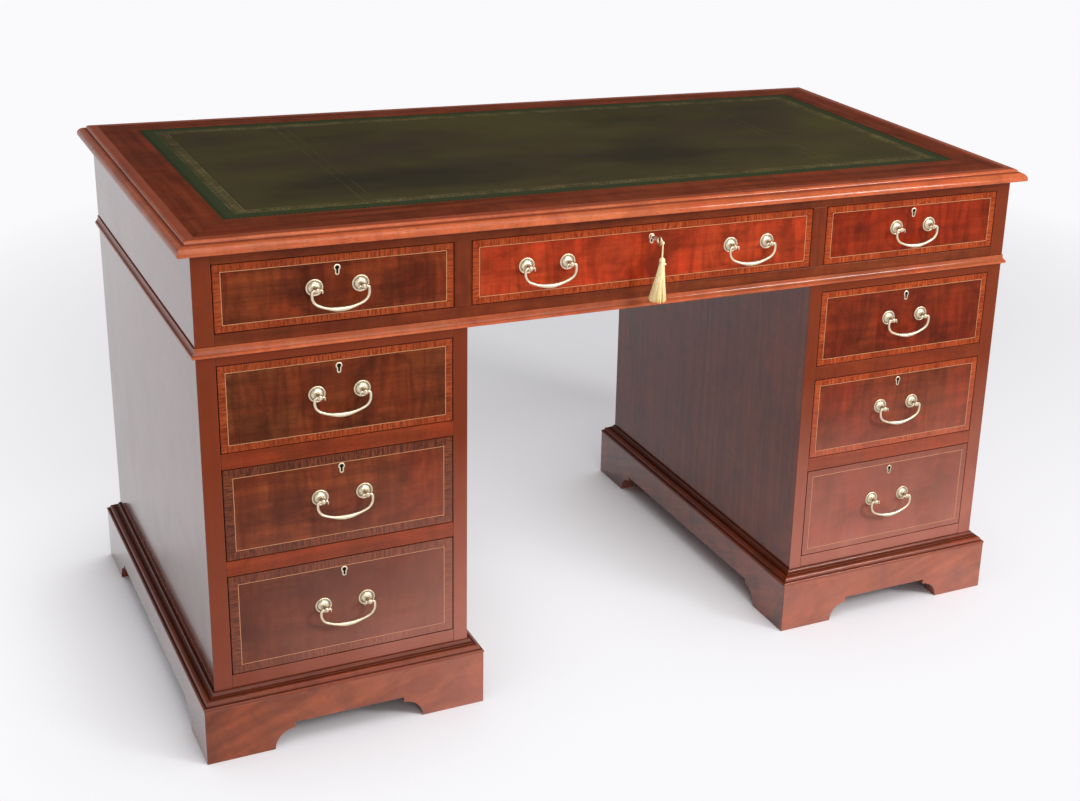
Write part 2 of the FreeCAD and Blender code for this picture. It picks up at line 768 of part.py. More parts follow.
def build_pedestals():
    """Both pedestals: panels, the rails between their drawers and the runners behind the rails."""
    nodes = []
    rails = []
    runners = []
    for side, left in PEDESTAL_LEFT.items():
        row = [opening for opening in OPENINGS if opening.name.startswith(f"{side}_")]
        upper, middle, lower = row
        inside = (upper.left, upper.right)
        body_z = ("plinth_height", WAIST)
        depth = (FRONT, f"{BACK} - pedestal_back")
        top_board = board(f"TopBoard_{side}", inside, depth, (f"{WAIST} - pedestal_top_board", WAIST))
        panels = [
            board(f"PanelLeft_{side}", (left, upper.left), (FRONT, BACK), body_z),
            board(f"PanelRight_{side}", (upper.right, f"{left} + {PEDESTAL_WIDTH}"), (FRONT, BACK), body_z),
            board(f"PanelBack_{side}", inside, (f"{BACK} - pedestal_back", BACK), body_z),
            cut(f"BoredTopBoard_{side}", top_board, [bolt_mortise(upper)]),
            board(f"BottomBoard_{side}", inside, depth, (f"{lower.floor} - bottom_board", lower.floor)),
        ]
        nodes.append(group(f"pedestal_{side}_panels", panels))
        front_depth = (FRONT, f"{FRONT} + rail_depth")
        base_z = ("plinth_height", f"{lower.floor} - bottom_board")
        rails.append(board(f"BaseRail_{side}", inside, (FRONT, FRONT_REAR), base_z))
        rear_depth = (f"{FRONT} + rail_depth", f"{BACK} - pedestal_back")
        for opening, below in ((upper, middle), (middle, lower)):
            rail_z = (f"{opening.floor} - pedestal_rail", opening.floor)
            rail = board(f"Rail_{opening.name}", inside, front_depth, rail_z)
            rails.append(cut(f"BoredRail_{opening.name}", rail, [bolt_mortise(below)]))
            runners += runner_pair(opening, rear_depth, (f"{opening.floor} - runner_height", opening.floor))
    nodes.append(group("pedestal_drawer_rails", rails))
    nodes.append(group("pedestal_drawer_runners", runners))
    return nodes


def build_waist():
    """The moulding that covers the joint of frieze and pedestals, along the front and both ends."""
    profile = outline(
        "WaistProfile",
        [
            Corner("0", "0"),
            Corner("waist_projection", "0"),
            Corner("waist_projection", "waist_fillet", "waist_cove_radius", bulging=False),
            Corner("waist_neck", "waist_height"),
            Corner("0", "waist_height"),
        ],
    )
    rectangle = Rectangle("0", CASE_HALF, "(case_depth / 2)")
    sides = ("front", "right", "left")
    lengths = moulding_frame("Waist", profile, rectangle, sides, "waist_projection", "waist_height", WAIST)
    return [group("waist_moulding", lengths)]


def bracket_board(name, rectangle, side):
    """A mitred plinth board cut away between its feet: rounded shoulders, a small step and a level arch."""
    length = rectangle.length(side)
    inset = "(plinth_board - plinth_projection)"
    blank = mitred_blank(f"{name}Blank", f"({length} - 2 * {inset})", "plinth_board", "plinth_height")
    half = f"({length} / 2 + plinth_projection - foot_span)"
    through = ("-2 * plinth_board", "plinth_board")
    arch = board(f"{name}Arch", (f"-{half}", half), through, ("0", "arch_height"))
    shoulders = []
    for hand, sign in (("Left", "-"), ("Right", "")):
        shoulder = cylinder(f"{name}Shoulder{hand}", "shoulder_radius", "3 * plinth_board", OUTWARD)
        shoulders.append(bind(shoulder, x=f"{sign}{half}", y="plinth_board"))
    bracket = cut(name, blank, [fused(f"{name}Opening", [arch, *shoulders])])
    bracket.Placement.Rotation = FreeCAD.Rotation(UP, SIDE_TURNS[side])
    inner = Rectangle(
        rectangle.centre_x, f"({rectangle.half_x} - {inset})", f"({rectangle.half_y} - {inset})"
    )
    return bind(bracket, **inner.place(side))


def build_plinths():
    """Each pedestal's plinth: four bracket boards, the stepped moulding on them and blocks in the corners."""
    cove_foot = "base_bead_rise + base_ovolo_rise + base_fillet"
    ovolo_out = "plinth_projection - base_bead_set - base_fillet"
    cove_out = f"{ovolo_out} - base_ovolo_run - base_fillet"
    profile = outline(
        "BaseProfile",
        [
            Corner("0", "0"),
            Corner("plinth_projection", "0", "base_bead_radius"),
            Corner("plinth_projection - base_bead_set", "base_bead_rise"),
            Corner(ovolo_out, "base_bead_rise", "base_ovolo_radius"),
            Corner(f"{ovolo_out} - base_ovolo_run", "base_bead_rise + base_ovolo_rise"),
            Corner(cove_out, "base_bead_rise + base_ovolo_rise"),
            Corner(cove_out, cove_foot, "base_cove_radius", bulging=False),
            Corner(f"{cove_out} - base_cove_run", f"{cove_foot} + base_cove_rise"),
            Corner(f"{cove_out} - base_cove_run", "base_moulding_height"),
            Corner("0", "base_moulding_height"),
        ],
    )
    nodes = []
    mouldings = []
    blocks = []
    half_x = f"({PEDESTAL_WIDTH} / 2)"
    half_y = "(case_depth / 2)"
    for hand, left in PEDESTAL_LEFT.items():
        rectangle = Rectangle(f"({left} + {half_x})", half_x, half_y)
        boards = [bracket_board(f"Bracket_{hand}_{side}", rectangle, side) for side in SIDE_TURNS]
        nodes.append(group(f"plinth_{hand}_boards", boards))
        mouldings += moulding_frame(
            f"Base_{hand}_", profile, rectangle, SIDE_TURNS, "plinth_projection", "base_moulding_height",
            "plinth_height",
        )
        blocks += corner_blocks(hand, rectangle)
    return [*nodes, group("plinth_mouldings", mouldings), group("plinth_corner_blocks", blocks)]


def corner_blocks(hand, rectangle):
    """Square glue blocks in the four inner corners of a plinth."""
    inset = "(plinth_board - plinth_projection)"
    blocks = []
    for x_name, x_sign in (("left", "-"), ("right", "")):
        for y_name, y_sign in (("front", "-"), ("back", "")):
            corner_x = f"{rectangle.centre_x} + ({x_sign}({rectangle.half_x} - {inset}))"
            corner_y = f"{MIDDLE} + ({y_sign}({rectangle.half_y} - {inset}))"
            x = (corner_x, f"{corner_x} + corner_block")
            y = (corner_y, f"{corner_y} + corner_block")
            if x_name == "right":
                x = (f"{corner_x} - corner_block", corner_x)
            if y_name == "back":
                y = (f"{corner_y} - corner_block", corner_y)
            z = ("corner_block_lift", "plinth_height")
            blocks.append(board(f"Block_{hand}_{x_name}_{y_name}", x, y, z))
    return blocks


def build_stops():
    """Two blocks behind each front that stop the drawer flush with the case."""
    stops = []
    for opening in OPENINGS:
        start = f"{FRONT_REAR} + running_clearance"
        z = (opening.floor, f"{opening.floor} + stop_height")
        for hand, share in (("left", 0.25), ("right", 0.75)):
            middle = f"({opening.left} + {opening.width} * {share})"
            x = (f"{middle} - stop_length / 2", f"{middle} + stop_length / 2")
            stops.append(board(f"Stop_{opening.name}_{hand}", x, (start, f"{start} + stop_width"), z))
    return [group("drawer_stops", stops)]


def build_drawers():
    """Every drawer with its front, box, brasses and bails."""
    nodes = []
    patterns = [rose_pattern(), post_pattern(), nut_pattern()]
    plain_lock = lock_pattern("PlainLock", chambered=False)
    working_lock = lock_pattern("WorkingLock", chambered=True)
    bail = bail_pattern()
    for opening in OPENINGS:
        left = f"{opening.left} + drawer_gap"
        right = f"{opening.right} - drawer_gap - drawer_side"
        tails = {"left": drawer_tails(opening, "left", left), "right": drawer_tails(opening, "right", right)}
        nodes.append(drawer_front(opening, tails, front_holes(opening)))
        nodes.append(drawer_box(opening, tails))
        lock = working_lock if opening.name == "frieze_centre" else plain_lock
        nodes.append(brasses(opening, patterns, lock))
        hands = ("_left", "_right") if len(opening.handle_offsets) == 2 else ("",)
        for hand, offset in zip(hands, opening.handle_offsets):
            hung = group(f"bail_{opening.name}{hand}", [bail])
            x = f"{opening.centre} + ({offset})"
            nodes.append(bind(hung, x=x, y=f"{FRONT} - post_reach", z=opening.handle_height))
    return nodes


def build_key():
    """The key in the centre drawer's lock, the bolt that it works, and the tassel on its bow."""
    shank_length = "key_depth + key_reach - 2 * key_bow_radius + key_bow_width"
    shank = prism("KeyShank", HEAD_SIDES, "key_shank_radius", shank_length, OUTWARD)
    bind(shank, y=f"{FRONT} + key_depth", z=KEY_AXIS)
    bow_y = f"{FRONT} - key_reach + key_bow_radius"
    disc = prism("KeyDisc", BOW_SIDES, "key_bow_radius", "key_bow_thickness", ALONG_X)
    eye = prism("KeyEye", BOW_SIDES, "key_bow_radius - key_bow_width", "key_bow_thickness", ALONG_X)
    for piece in (disc, eye):
        bind(piece, x="-key_bow_thickness / 2", y=bow_y, z=KEY_AXIS)
    bit = board(
        "KeyBit",
        ("-key_bit_thickness / 2", "key_bit_thickness / 2"),
        (f"{FRONT} + key_depth - key_bit_length", f"{FRONT} + key_depth"),
        (f"{KEY_AXIS} - key_bit_reach", KEY_AXIS),
    )
    key = fused("key", [cut("KeyBow", disc, [eye]), shank, bit])
    bolt_y = f"{FRONT_REAR} - lock_thickness + bolt_setback"
    bolt_top = f"{place_of('frieze_centre').front_top} - bolt_clearance"
    bolt = board(
        "lock_bolt",
        ("-bolt_width / 2", "bolt_width / 2"),
        (bolt_y, f"{bolt_y} + bolt_thickness"),
        (f"{bolt_top} - bolt_height", bolt_top),
    )
    return [key, bolt, *build_tassel()]


def build_tassel():
    """A knot in front of the key's bow, the cord below it and the tassel, bored for the cord's end."""
    cord_top = f"{KEY_AXIS} - knot_radius"
    cord = prism("tassel_cord", HEAD_SIDES, "cord_radius", "cord_length", UPRIGHT)
    bind(cord, y=KNOT_Y, z=f"{cord_top} - cord_length")
    knot_stations = [("knot_flat", "0"), ("knot_radius", "knot_radius"), ("knot_flat", "2 * knot_radius")]
    knot = bind(turned("TasselKnot", knot_stations), y=KNOT_Y, z=cord_top)
    head_top = "tassel_skirt_length + tassel_head_length"
    body_stations = [
        ("tassel_skirt_radius", "0"),
        ("tassel_neck_radius", "tassel_skirt_length"),
        ("tassel_head_radius", "tassel_skirt_length + tassel_head_length / 2"),
        ("knot_flat", head_top),
    ]
    body = turned("TasselBlank", body_stations)
    bind(body, y=KNOT_Y, z=f"{cord_top} - cord_visible - ({head_top})")
    return [group("tassel", [knot, cut("TasselBody", body, [cord])]), cord]


def check(objects):
    """Stops the build where an object of the document failed."""
    for thing in objects:
        if {"Invalid", "Error"} & set(thing.State):
            raise RuntimeError(f"{thing.Label} failed: {thing.State}")


# Pieces and tools that several drawers share
STEM = board(
    "Stem",
    ("-post_stem", "post_stem"),
    ("-post_reach", "front_thickness + nut_thickness + post_tail"),
    ("-post_stem", "post_stem"),
)
KEYHOLE = keyhole(
    "Keyhole", "keyhole_radius", "keyhole_slot", "keyhole_length", "2 * front_thickness", "front_thickness"
)
ESCUTCHEON = escutcheon_pattern()
LOCK_ROOM = lock_pattern("LockRoom", chambered=False)

NODES = [
    *build_top(),
    *build_frieze(),
    *build_pedestals(),
    *build_waist(),
    *build_plinths(),
    *build_stops(),
    *build_drawers(),
    *build_key(),
]
DOC.recompute()
check(DOC.Objects)
os.makedirs("parts", exist_ok=True)
for node in NODES:
    if node.Shape.isNull() or not node.Shape.isValid():
        raise RuntimeError(f"{node.Label} has no valid shape")
for node in NODES:
    node.Shape.exportStep(f"parts/{node.Label}.step")
print(f"{len(NODES)} nodes, {sum(len(node.Shape.Solids) for node in NODES)} solids")
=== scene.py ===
"""The looks of a mahogany pedestal desk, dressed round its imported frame.

Metres. X runs along the front, Y from front to back, Z up; the floor is z = 0 and the front faces -Y.
"""

import logging
import math
from dataclasses import dataclass, field
from enum import Enum
from typing import Iterable, Optional, Sequence, Union

import bmesh
import bpy
import numpy as np
from bpy.types import ID, Material, Mesh, Node, NodeSocket as Socket, NodeTree, Object
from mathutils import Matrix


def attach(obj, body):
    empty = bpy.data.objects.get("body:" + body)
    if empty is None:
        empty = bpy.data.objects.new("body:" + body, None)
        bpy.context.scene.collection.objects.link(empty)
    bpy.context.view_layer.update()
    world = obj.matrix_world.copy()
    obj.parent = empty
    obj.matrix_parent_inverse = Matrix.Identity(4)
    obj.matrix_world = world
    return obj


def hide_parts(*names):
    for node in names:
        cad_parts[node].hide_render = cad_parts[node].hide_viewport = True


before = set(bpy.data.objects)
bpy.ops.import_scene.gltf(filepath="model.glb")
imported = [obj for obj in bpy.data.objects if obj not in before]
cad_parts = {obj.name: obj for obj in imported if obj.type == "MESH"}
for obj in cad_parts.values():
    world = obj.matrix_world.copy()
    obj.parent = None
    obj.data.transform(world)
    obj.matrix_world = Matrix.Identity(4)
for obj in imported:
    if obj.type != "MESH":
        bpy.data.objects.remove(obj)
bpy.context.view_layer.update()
LOG = logging.getLogger("pedestal_desk")
MM = 0.001
Array = np.ndarray
Value = Union[float, Sequence[float], Socket]
Point = Sequence[float]
Place = tuple[float, float, float]
Colour = tuple[float, float, float]

FRONT = -336 * MM
BACK = 350 * MM
MIDDLE = (FRONT + BACK) / 2
CASE_HALF = 674 * MM
PLINTH_HEIGHT = 87 * MM
WAIST = 615.5 * MM
FRIEZE_FLOOR = 646 * MM
FRIEZE_OPENING = 97.5 * MM
TOP_UNDERSIDE = 761 * MM
TOP = 780 * MM
OUTER_SIDE = 26 * MM
INNER_SIDE = 22 * MM
PEDESTAL_OPENING = 335 * MM
PEDESTAL_WIDTH = OUTER_SIDE + PEDESTAL_OPENING + INNER_SIDE
KEYHOLE = (3 * MM, 1.5 * MM, 9 * MM)
LATHE_SIDES = 32
PEDESTAL_HALVES = (PEDESTAL_WIDTH / 2, (BACK - FRONT) / 2)
TIMBER = np.random.default_rng(11)


class Side(Enum):
    """A side of the desk, in order round it from the front, anticlockwise from above."""

    FRONT = "front"
    RIGHT = "right"
    BACK = "back"
    LEFT = "left"


PEDESTAL_LEFTS = {Side.LEFT: -CASE_HALF, Side.RIGHT: CASE_HALF - PEDESTAL_WIDTH}
OPENING_LEFTS = {
    Side.LEFT: -CASE_HALF + OUTER_SIDE,
    Side.RIGHT: CASE_HALF - OUTER_SIDE - PEDESTAL_OPENING,
}


class Grain(Enum):
    """The axis that a board's grain runs along."""

    ALONG = 0
    DEEP = 1
    UP = 2


def srgb(red: float, green: float, blue: float) -> tuple[float, float, float, float]:
    """A colour as a shader wants it, from its 0 to 255 screen values.

    Args:
        red, green, blue: the screen values.

    Returns:
        The linear colour with an alpha of 1.
    """
    share = np.array([red, green, blue]) / 255
    linear = np.where(share <= 0.04045, share / 12.92, ((share + 0.055) / 1.055) ** 2.4)
    return (*linear.tolist(), 1.0)


# Surfaces

@dataclass
class Surface:
    """Points, the faces between them, and two values that the finishes read at each point.

    Fields:
        points: the places, one row each.
        quads: four point numbers a row.
        caps: faces with any number of corners.
        grain: each point's place in its board's timber, the first value along the grain.
        hollow: 1 in the hollows of a moulding, and 0 elsewhere; the wood takes a painted shade there.
    """

    points: Array
    quads: Array
    caps: list[list[int]] = field(default_factory=list)
    grain: Optional[Array] = None
    hollow: Optional[Array] = None

    def outward(self) -> "Surface":
        """Turns the faces round if the volume that they enclose comes out negative.

        Returns:
            This surface.
        """
        fans = [(cap[0], cap[index], cap[index + 1]) for cap in self.caps for index in range(1, len(cap) - 1)]
        halves = [self.quads[:, [0, 1, 2]], self.quads[:, [0, 2, 3]]]
        corners = self.points[np.vstack([*halves, np.array(fans, int).reshape(-1, 3)])]
        corners = corners - self.points.mean(axis=0)
        volume = np.einsum("ij,ij->i", corners[:, 0], np.cross(corners[:, 1], corners[:, 2])).sum()
        if volume < 0:
            self.quads = self.quads[:, ::-1]
            self.caps = [cap[::-1] for cap in self.caps]
        return self

    def timber(self, grain: Grain) -> "Surface":
        """Gives the points their places in a board of its own, cut from anywhere in the log.

        Args:
            grain: the axis that the grain runs along.

        Returns:
            This surface.
        """
        order = [(grain.value + step) % 3 for step in range(3)]
        self.grain = self.points[:, order] - self.points[:, order].min(axis=0) + TIMBER.uniform(0, 40, 3)
        return self


def joined(surfaces: Iterable[Surface]) -> Surface:
    """One surface made of several that stay separate islands.

    Args:
        surfaces: the islands.

    Returns:
        The surface that holds them all.
    """
    parts = list(surfaces)
    starts = np.cumsum([0] + [len(part.points) for part in parts])
    caps = [
        [corner + int(start) for corner in cap]
        for part, start in zip(parts, starts)
        for cap in part.caps
    ]
    grains = [np.zeros((len(part.points), 3)) if part.grain is None else part.grain for part in parts]
    recesses = [np.zeros(len(part.points)) if part.hollow is None else part.hollow for part in parts]
    return Surface(
        np.vstack([part.points for part in parts]),
        np.vstack([part.quads + start for part, start in zip(parts, starts)]),
        caps,
        np.vstack(grains),
        np.concatenate(recesses),
    )


def grid_quads(rows: int, columns: int, round_columns: bool = False, round_rows: bool = False) -> Array:
    """The quads of a grid of points stored row by row.

    Args:
        rows, columns: the size of the grid.
        round_columns, round_rows: whether the last one joins the first.

    Returns:
        Four point numbers a row.
    """
    row, column = np.meshgrid(
        np.arange(rows if round_rows else rows - 1),
        np.arange(columns if round_columns else columns - 1),
        indexing="ij",
    )
    here, below = row * columns, (row + 1) % rows * columns
    beside = (column + 1) % columns
    corners = [here + column, here + beside, below + beside, below + column]
    return np.stack(corners, axis=-1).reshape(-1, 4)


def rings_surface(rings: Array) -> Surface:
    """A skin over rings of points, one row a ring, with a flat face at either end.

    Args:
        rings: an array of rings by corners by three.

    Returns:
        The surface.
    """
    count, sides = rings.shape[:2]
    first = list(range(sides))
    caps = [first[::-1], [corner + (count - 1) * sides for corner in first]]
    return Surface(rings.reshape(-1, 3), grid_quads(count, sides, round_columns=True), caps)


def board(low: Point, high: Point, grain: Grain, arris: float = 0.8 * MM) -> Surface:
    """A board with rounded arrises.

    A rectangle whose four corners are quarter circles is carried from the bottom to the top. Near each end
    its circles shrink with the sine of an angle while the height follows the cosine.

    Args:
        low, high: the lowest and highest corner.
        grain: the axis that the grain runs along.
        arris: the radius of the rounding.

    Returns:
        The closed surface.
    """
    low, high, steps = np.array(low, float), np.array(high, float), 3
    quarter = np.linspace(0, math.pi / 2, steps)
    turn = (np.arange(4)[:, None] * math.pi / 2 + quarter).ravel()
    signs = np.array([[1, 1], [-1, 1], [-1, -1], [1, -1]]).repeat(steps, axis=0)
    core = (low[:2] + high[:2]) / 2 + signs * ((high[:2] - low[:2]) / 2 - arris)
    lean = np.linspace(0.2, 1, steps) * math.pi / 2
    spread = arris * np.concatenate([np.sin(lean), np.sin(lean[::-1])])
    rounding = arris * (1 - np.cos(lean))
    heights = np.concatenate([low[2] + rounding, high[2] - rounding[::-1]])
    flat = core[None] + spread[:, None, None] * np.stack([np.cos(turn), np.sin(turn)], axis=-1)[None]
    rise = np.broadcast_to(heights[:, None, None], (*flat.shape[:2], 1))
    return rings_surface(np.concatenate([flat, rise], axis=2)).outward().timber(grain)


def arc(start: Point, end: Point, radius: float, bulging: bool = True, steps: int = 8) -> Array:
    """Points of a circular arc on a flat outline, without its last one.

    Args:
        start, end: the arc's ends.
        radius: its radius.
        bulging: whether it swells to the right of the way from start to end.
        steps: how many chords it has.

    Returns:
        The points, two columns.
    """
    start, end = np.array(start, float), np.array(end, float)
    chord = end - start
    length = np.linalg.norm(chord)
    left = np.array([-chord[1], chord[0]]) / length
    offset = math.sqrt(max(radius**2 - (length / 2) ** 2, 0))
    centre = (start + end) / 2 + left * (offset if bulging else -offset)
    first, last = (math.atan2(*(point - centre)[::-1]) for point in (start, end))
    turn = (last - first + math.pi) % (2 * math.pi) - math.pi
    angles = first + turn * np.arange(steps) / steps
    return centre + radius * np.stack([np.cos(angles), np.sin(angles)], axis=-1)


def hollows(profile: Array) -> Array:
    """How far each point of an anticlockwise outline lies in a hollow.

    The turn from one edge to the next is to the right in a hollow; it is spread over the neighbours.

    Args:
        profile: the outline, two columns.

    Returns:
        A value from 0 to 1 for each point.
    """
    before = profile - np.roll(profile, 1, axis=0)
    after = np.roll(profile, -1, axis=0) - profile
    cross = before[:, 0] * after[:, 1] - before[:, 1] * after[:, 0]
    turn = np.arctan2(cross, np.einsum("ij,ij->i", before, after))
    deep = np.clip(-turn * 2, 0, 1)
    return np.clip(deep + (np.roll(deep, 1) + np.roll(deep, -1)) / 3, 0, 1)


def moulding(profile: Array, start: Point, end: Point, z: float, mitres: Point = (1, 1)) -> Surface:
    """A straight length of moulding on a face.

    The profile's first value goes out from the face, to the right of the way, and its second goes up. At a
    mitre a point runs on past the end as far as it stands out.

    Args:
        profile: the anticlockwise outline, two columns.
        start, end: the ends on the face, as x and y.
        z: the height of the profile's foot.
        mitres: how far the start and the end run on, as shares of the distance out.

    Returns:
        The closed surface.
    """
    start, end = np.array(start, float), np.array(end, float)
    along = (end - start) / np.linalg.norm(end - start)
    outward = np.array([along[1], -along[0]])
    out = profile[:, :1]
    plans = [start + out * (outward - mitres[0] * along), end + out * (outward + mitres[1] * along)]
    rise = z + profile[:, 1:]
    rings = np.stack([np.hstack([plan, rise]) for plan in plans])
    surface = rings_surface(rings).outward()
    surface.hollow = np.tile(hollows(profile), 2)
    return surface.timber(Grain.ALONG if abs(along[0]) > 0.5 else Grain.DEEP)


def corners_of(low: Point, high: Point) -> Array:
    """The corners of a rectangle from its low one on, anticlockwise from above."""
    return np.array([low, (high[0], low[1]), high, (low[0], high[1])], float)


def mould_round(
    profile: Array, low: Point, high: Point, z: float, bare: Optional[Side] = None
) -> list[Surface]:
    """Lengths of moulding round a rectangle, mitred where two of them meet.

    Args:
        profile: the anticlockwise outline.
        low, high: the rectangle's corners, as x and y.
        z: the height of the profile's foot.
        bare: the side that has none.

    Returns:
        One surface a side.
    """
    corners = corners_of(low, high)
    covered = [float(side is not bare) for side in Side]
    lengths = []
    for index, here in enumerate(covered):
        after = (index + 1) % len(covered)
        if here:
            mitres = (covered[index - 1], covered[after])
            lengths.append(moulding(profile, corners[index], corners[after], z, mitres))
    return lengths


def slab(near: Array, far: Array, near_y: float, far_y: float) -> Surface:
    """The closed surface between two outlines of as many points, as x and z, each with its own y."""
    faces = [np.insert(face, 1, place, axis=1) for face, place in ((near, near_y), (far, far_y))]
    return rings_surface(np.stack(faces)).outward()


def quarter_turned(surface: Surface, turns: int, centre: Point) -> Surface:
    """Turns a surface about the vertical through the origin by quarter turns, then sets it down.

    Args:
        surface: what is turned.
        turns: how many quarter turns, anticlockwise from above.
        centre: where the origin goes, as x and y.

    Returns:
        The same surface.
    """
    cosine, sine = round(math.cos(turns * math.pi / 2)), round(math.sin(turns * math.pi / 2))
    x, y = surface.points[:, 0].copy(), surface.points[:, 1].copy()
    surface.points[:, 0] = cosine * x - sine * y + centre[0]
    surface.points[:, 1] = sine * x + cosine * y + centre[1]
    return surface


def lathe(profile: Array, axis: Grain, centre: Point, steps: int = LATHE_SIDES, reach: float = 1) -> Surface:
    """A turning: each radius of a profile goes round an axis at its distance along it.

    Args:
        profile: radius and distance along the axis, two columns.
        axis: the axis of the turning.
        centre: where the profile's zero distance is.
        steps: how many sides a circle has.
        reach: 1 for distances that run with the axis, -1 for against it.

    Returns:
        The closed surface.
    """
    turn = np.linspace(0, 2 * math.pi, steps, endpoint=False)
    across = [(axis.value + 1) % 3, (axis.value + 2) % 3]
    rings = np.zeros((len(profile), steps, 3))
    rings[:, :, across[0]] = profile[:, :1] * np.cos(turn)
    rings[:, :, across[1]] = profile[:, :1] * np.sin(turn)
    rings[:, :, axis.value] = reach * profile[:, 1:]
    return rings_surface(rings + np.array(centre)).outward()


def tube(path: Array, radii: Array, side: Point, steps: int = 14, closed: bool = False) -> Surface:
    """A round bar along a flat path: a circle at each point, across the path's direction.

    Args:
        path: the centre line, three columns.
        radii: the radius at each point.
        side: the direction square to the plane of the path.
        steps: how many sides a circle has.
        closed: whether the path joins its own start.

    Returns:
        The closed surface.
    """
    ahead = np.roll(path, -1, axis=0) - np.roll(path, 1, axis=0)
    if not closed:
        ahead[0], ahead[-1] = path[1] - path[0], path[-1] - path[-2]
    ahead = ahead / np.linalg.norm(ahead, axis=1, keepdims=True)
    side = np.array(side, float)
    inner = np.cross(ahead, side)
    turn = np.linspace(0, 2 * math.pi, steps, endpoint=False)
    circle = np.cos(turn)[None, :, None] * inner[:, None] + np.sin(turn)[None, :, None] * side
    rings = path[:, None] + radii[:, None, None] * circle
    if closed:
        quads = grid_quads(len(path), steps, round_columns=True, round_rows=True)
        return Surface(rings.reshape(-1, 3), quads).outward()
    return rings_surface(rings).outward()


# Finishes

STRINGING = (210, 152, 106)
# The pale colour painted on low front faces: a painted reflection of the floor.
PAINTED_WASH_COLOUR = (214, 146, 130)
FLUSH = (1.06, 0.72, 0.6)
# The painted reflection fades out up to the height of the knee, and over these places towards the desk's left
# end.
KNEE_HEIGHT = 450 * MM
PAINTED_WASH_FADES = (-660 * MM, -300 * MM)
MERGE = 0.001 * MM
FLAT = math.radians(1)
TOOLED_LINES = (22 * MM, 38 * MM)
PARTING_LINES = (402 * MM, 385 * MM)


class Graph:
    """The nodes of a material or a node group, made and wired in one step each."""

    def __init__(self, tree: NodeTree) -> None:
        """Works on a tree of nodes."""
        self.tree = tree

    def add(self, kind: str, inputs: Optional[dict] = None, **settings: object) -> Node:
        """Adds a node.

        Args:
            kind: Blender's name for the node, without its ShaderNode prefix.
            inputs: what its sockets get, by number or name.
            settings: properties of the node.

        Returns:
            The node.
        """
        node = self.tree.nodes.new(f"ShaderNode{kind}")
        for name, setting in settings.items():
            setattr(node, name, setting)
        for key, value in (inputs or {}).items():
            self.feed(node.inputs[key], value)
        return node

    def feed(self, socket: Socket, value: Value) -> None:
        """Wires a socket to another, or sets it to a plain value."""
        if isinstance(value, Socket):
            self.tree.links.new(value, socket)
        else:
            socket.default_value = value

    def math(self, operation: str, *values: Value) -> Socket:
        """The result of a Math node."""
        return self.add("Math", dict(enumerate(values)), operation=operation).outputs[0]

    def times(self, value: Value, factor: Value, plus: Value = 0) -> Socket:
        """A value times a factor, and what is added to that."""
        return self.math("MULTIPLY_ADD", value, factor, plus)

    def apart(self, first: Value, second: Value) -> Socket:
        """How far two values are apart."""
        return self.math("ABSOLUTE", self.math("SUBTRACT", first, second))

    def span(self, value: Value, low: float, high: float, start: float = 0, end: float = 1) -> Socket:
        """A value's place between two others, carried over to another span and held inside it."""
        return self.add("MapRange", dict(enumerate((value, low, high, start, end)))).outputs[0]

    def mix(self, share: Value, first: Value, second: Value) -> Socket:
        """Two colours mixed by a share of the second."""
        return self.add("Mix", {0: share, 6: first, 7: second}, data_type="RGBA").outputs[2]

    def tint(self, colour: Value, mask: Value, share: float, over: Point) -> Socket:
        """A colour with a share of a screen colour laid over it by a mask."""
        return self.mix(self.times(mask, share), colour, srgb(*over))

    def stretch(
        self, vector: Value, scale: Point, turn: Point = (0, 0, 0), shift: Point = (0, 0, 0)
    ) -> Socket:
        """A place after a Mapping node."""
        inputs = {"Vector": vector, "Scale": scale, "Rotation": turn, "Location": shift}
        return self.add("Mapping", inputs).outputs[0]

    def noise(
        self, vector: Value, scale: float, detail: float = 2, roughness: float = 0.5, warp: float = 0
    ) -> Socket:
        """The value of a Noise texture."""
        inputs = {"Vector": vector, "Scale": scale, "Detail": detail, "Roughness": roughness}
        return self.add("TexNoise", {**inputs, "Distortion": warp}).outputs[0]

    def parts(self, vector: Value) -> tuple[Socket, ...]:
        """The three values of a vector."""
        return tuple(self.add("SeparateXYZ", {0: vector}).outputs)

    def vector(self, *values: Value) -> Socket:
        """A vector of three values."""
        return self.add("CombineXYZ", dict(enumerate(values))).outputs[0]

    def attribute(self, name: str) -> Node:
        """A value that the mesh carries."""
        return self.add("Attribute", attribute_name=name)

    def place(self) -> Socket:
        """The place on the object, in its own coordinates."""
        return self.add("TexCoord").outputs["Object"]

    def group(self, tree: NodeTree, inputs: dict[str, Value]) -> dict[str, Socket]:
        """The outputs, by name, of a node group whose inputs get values."""
        node = self.add("Group", inputs, node_tree=tree)
        return {socket.name: socket for socket in node.outputs}

    def bump(self, height: Value, distance: float, strength: float) -> Socket:
        """A normal that follows a height in metres times the distance."""
        inputs = {"Strength": strength, "Distance": distance, "Height": height}
        return self.add("Bump", inputs).outputs[0]

    def nearest_edge(
        self, place: Sequence[Value], middle: Sequence[Value], half: Sequence[Value]
    ) -> tuple[Socket, Socket, Socket]:
        """Where a place lies by the nearest edge of a rectangle.

        Args:
            place: the place in the rectangle's plane, as two values.
            middle: the rectangle's middle.
            half: half its width and half its height.

        Returns:
            The distance from that edge, 1 where it is a left or right one, and the place along it.
        """
        inset = [self.math("SUBTRACT", half[axis], self.apart(place[axis], middle[axis])) for axis in (0, 1)]
        edge = self.math("MINIMUM", *inset)
        sideways = self.math("LESS_THAN", *inset)
        across = self.math("SUBTRACT", place[1], place[0])
        return edge, sideways, self.times(sideways, across, place[0])


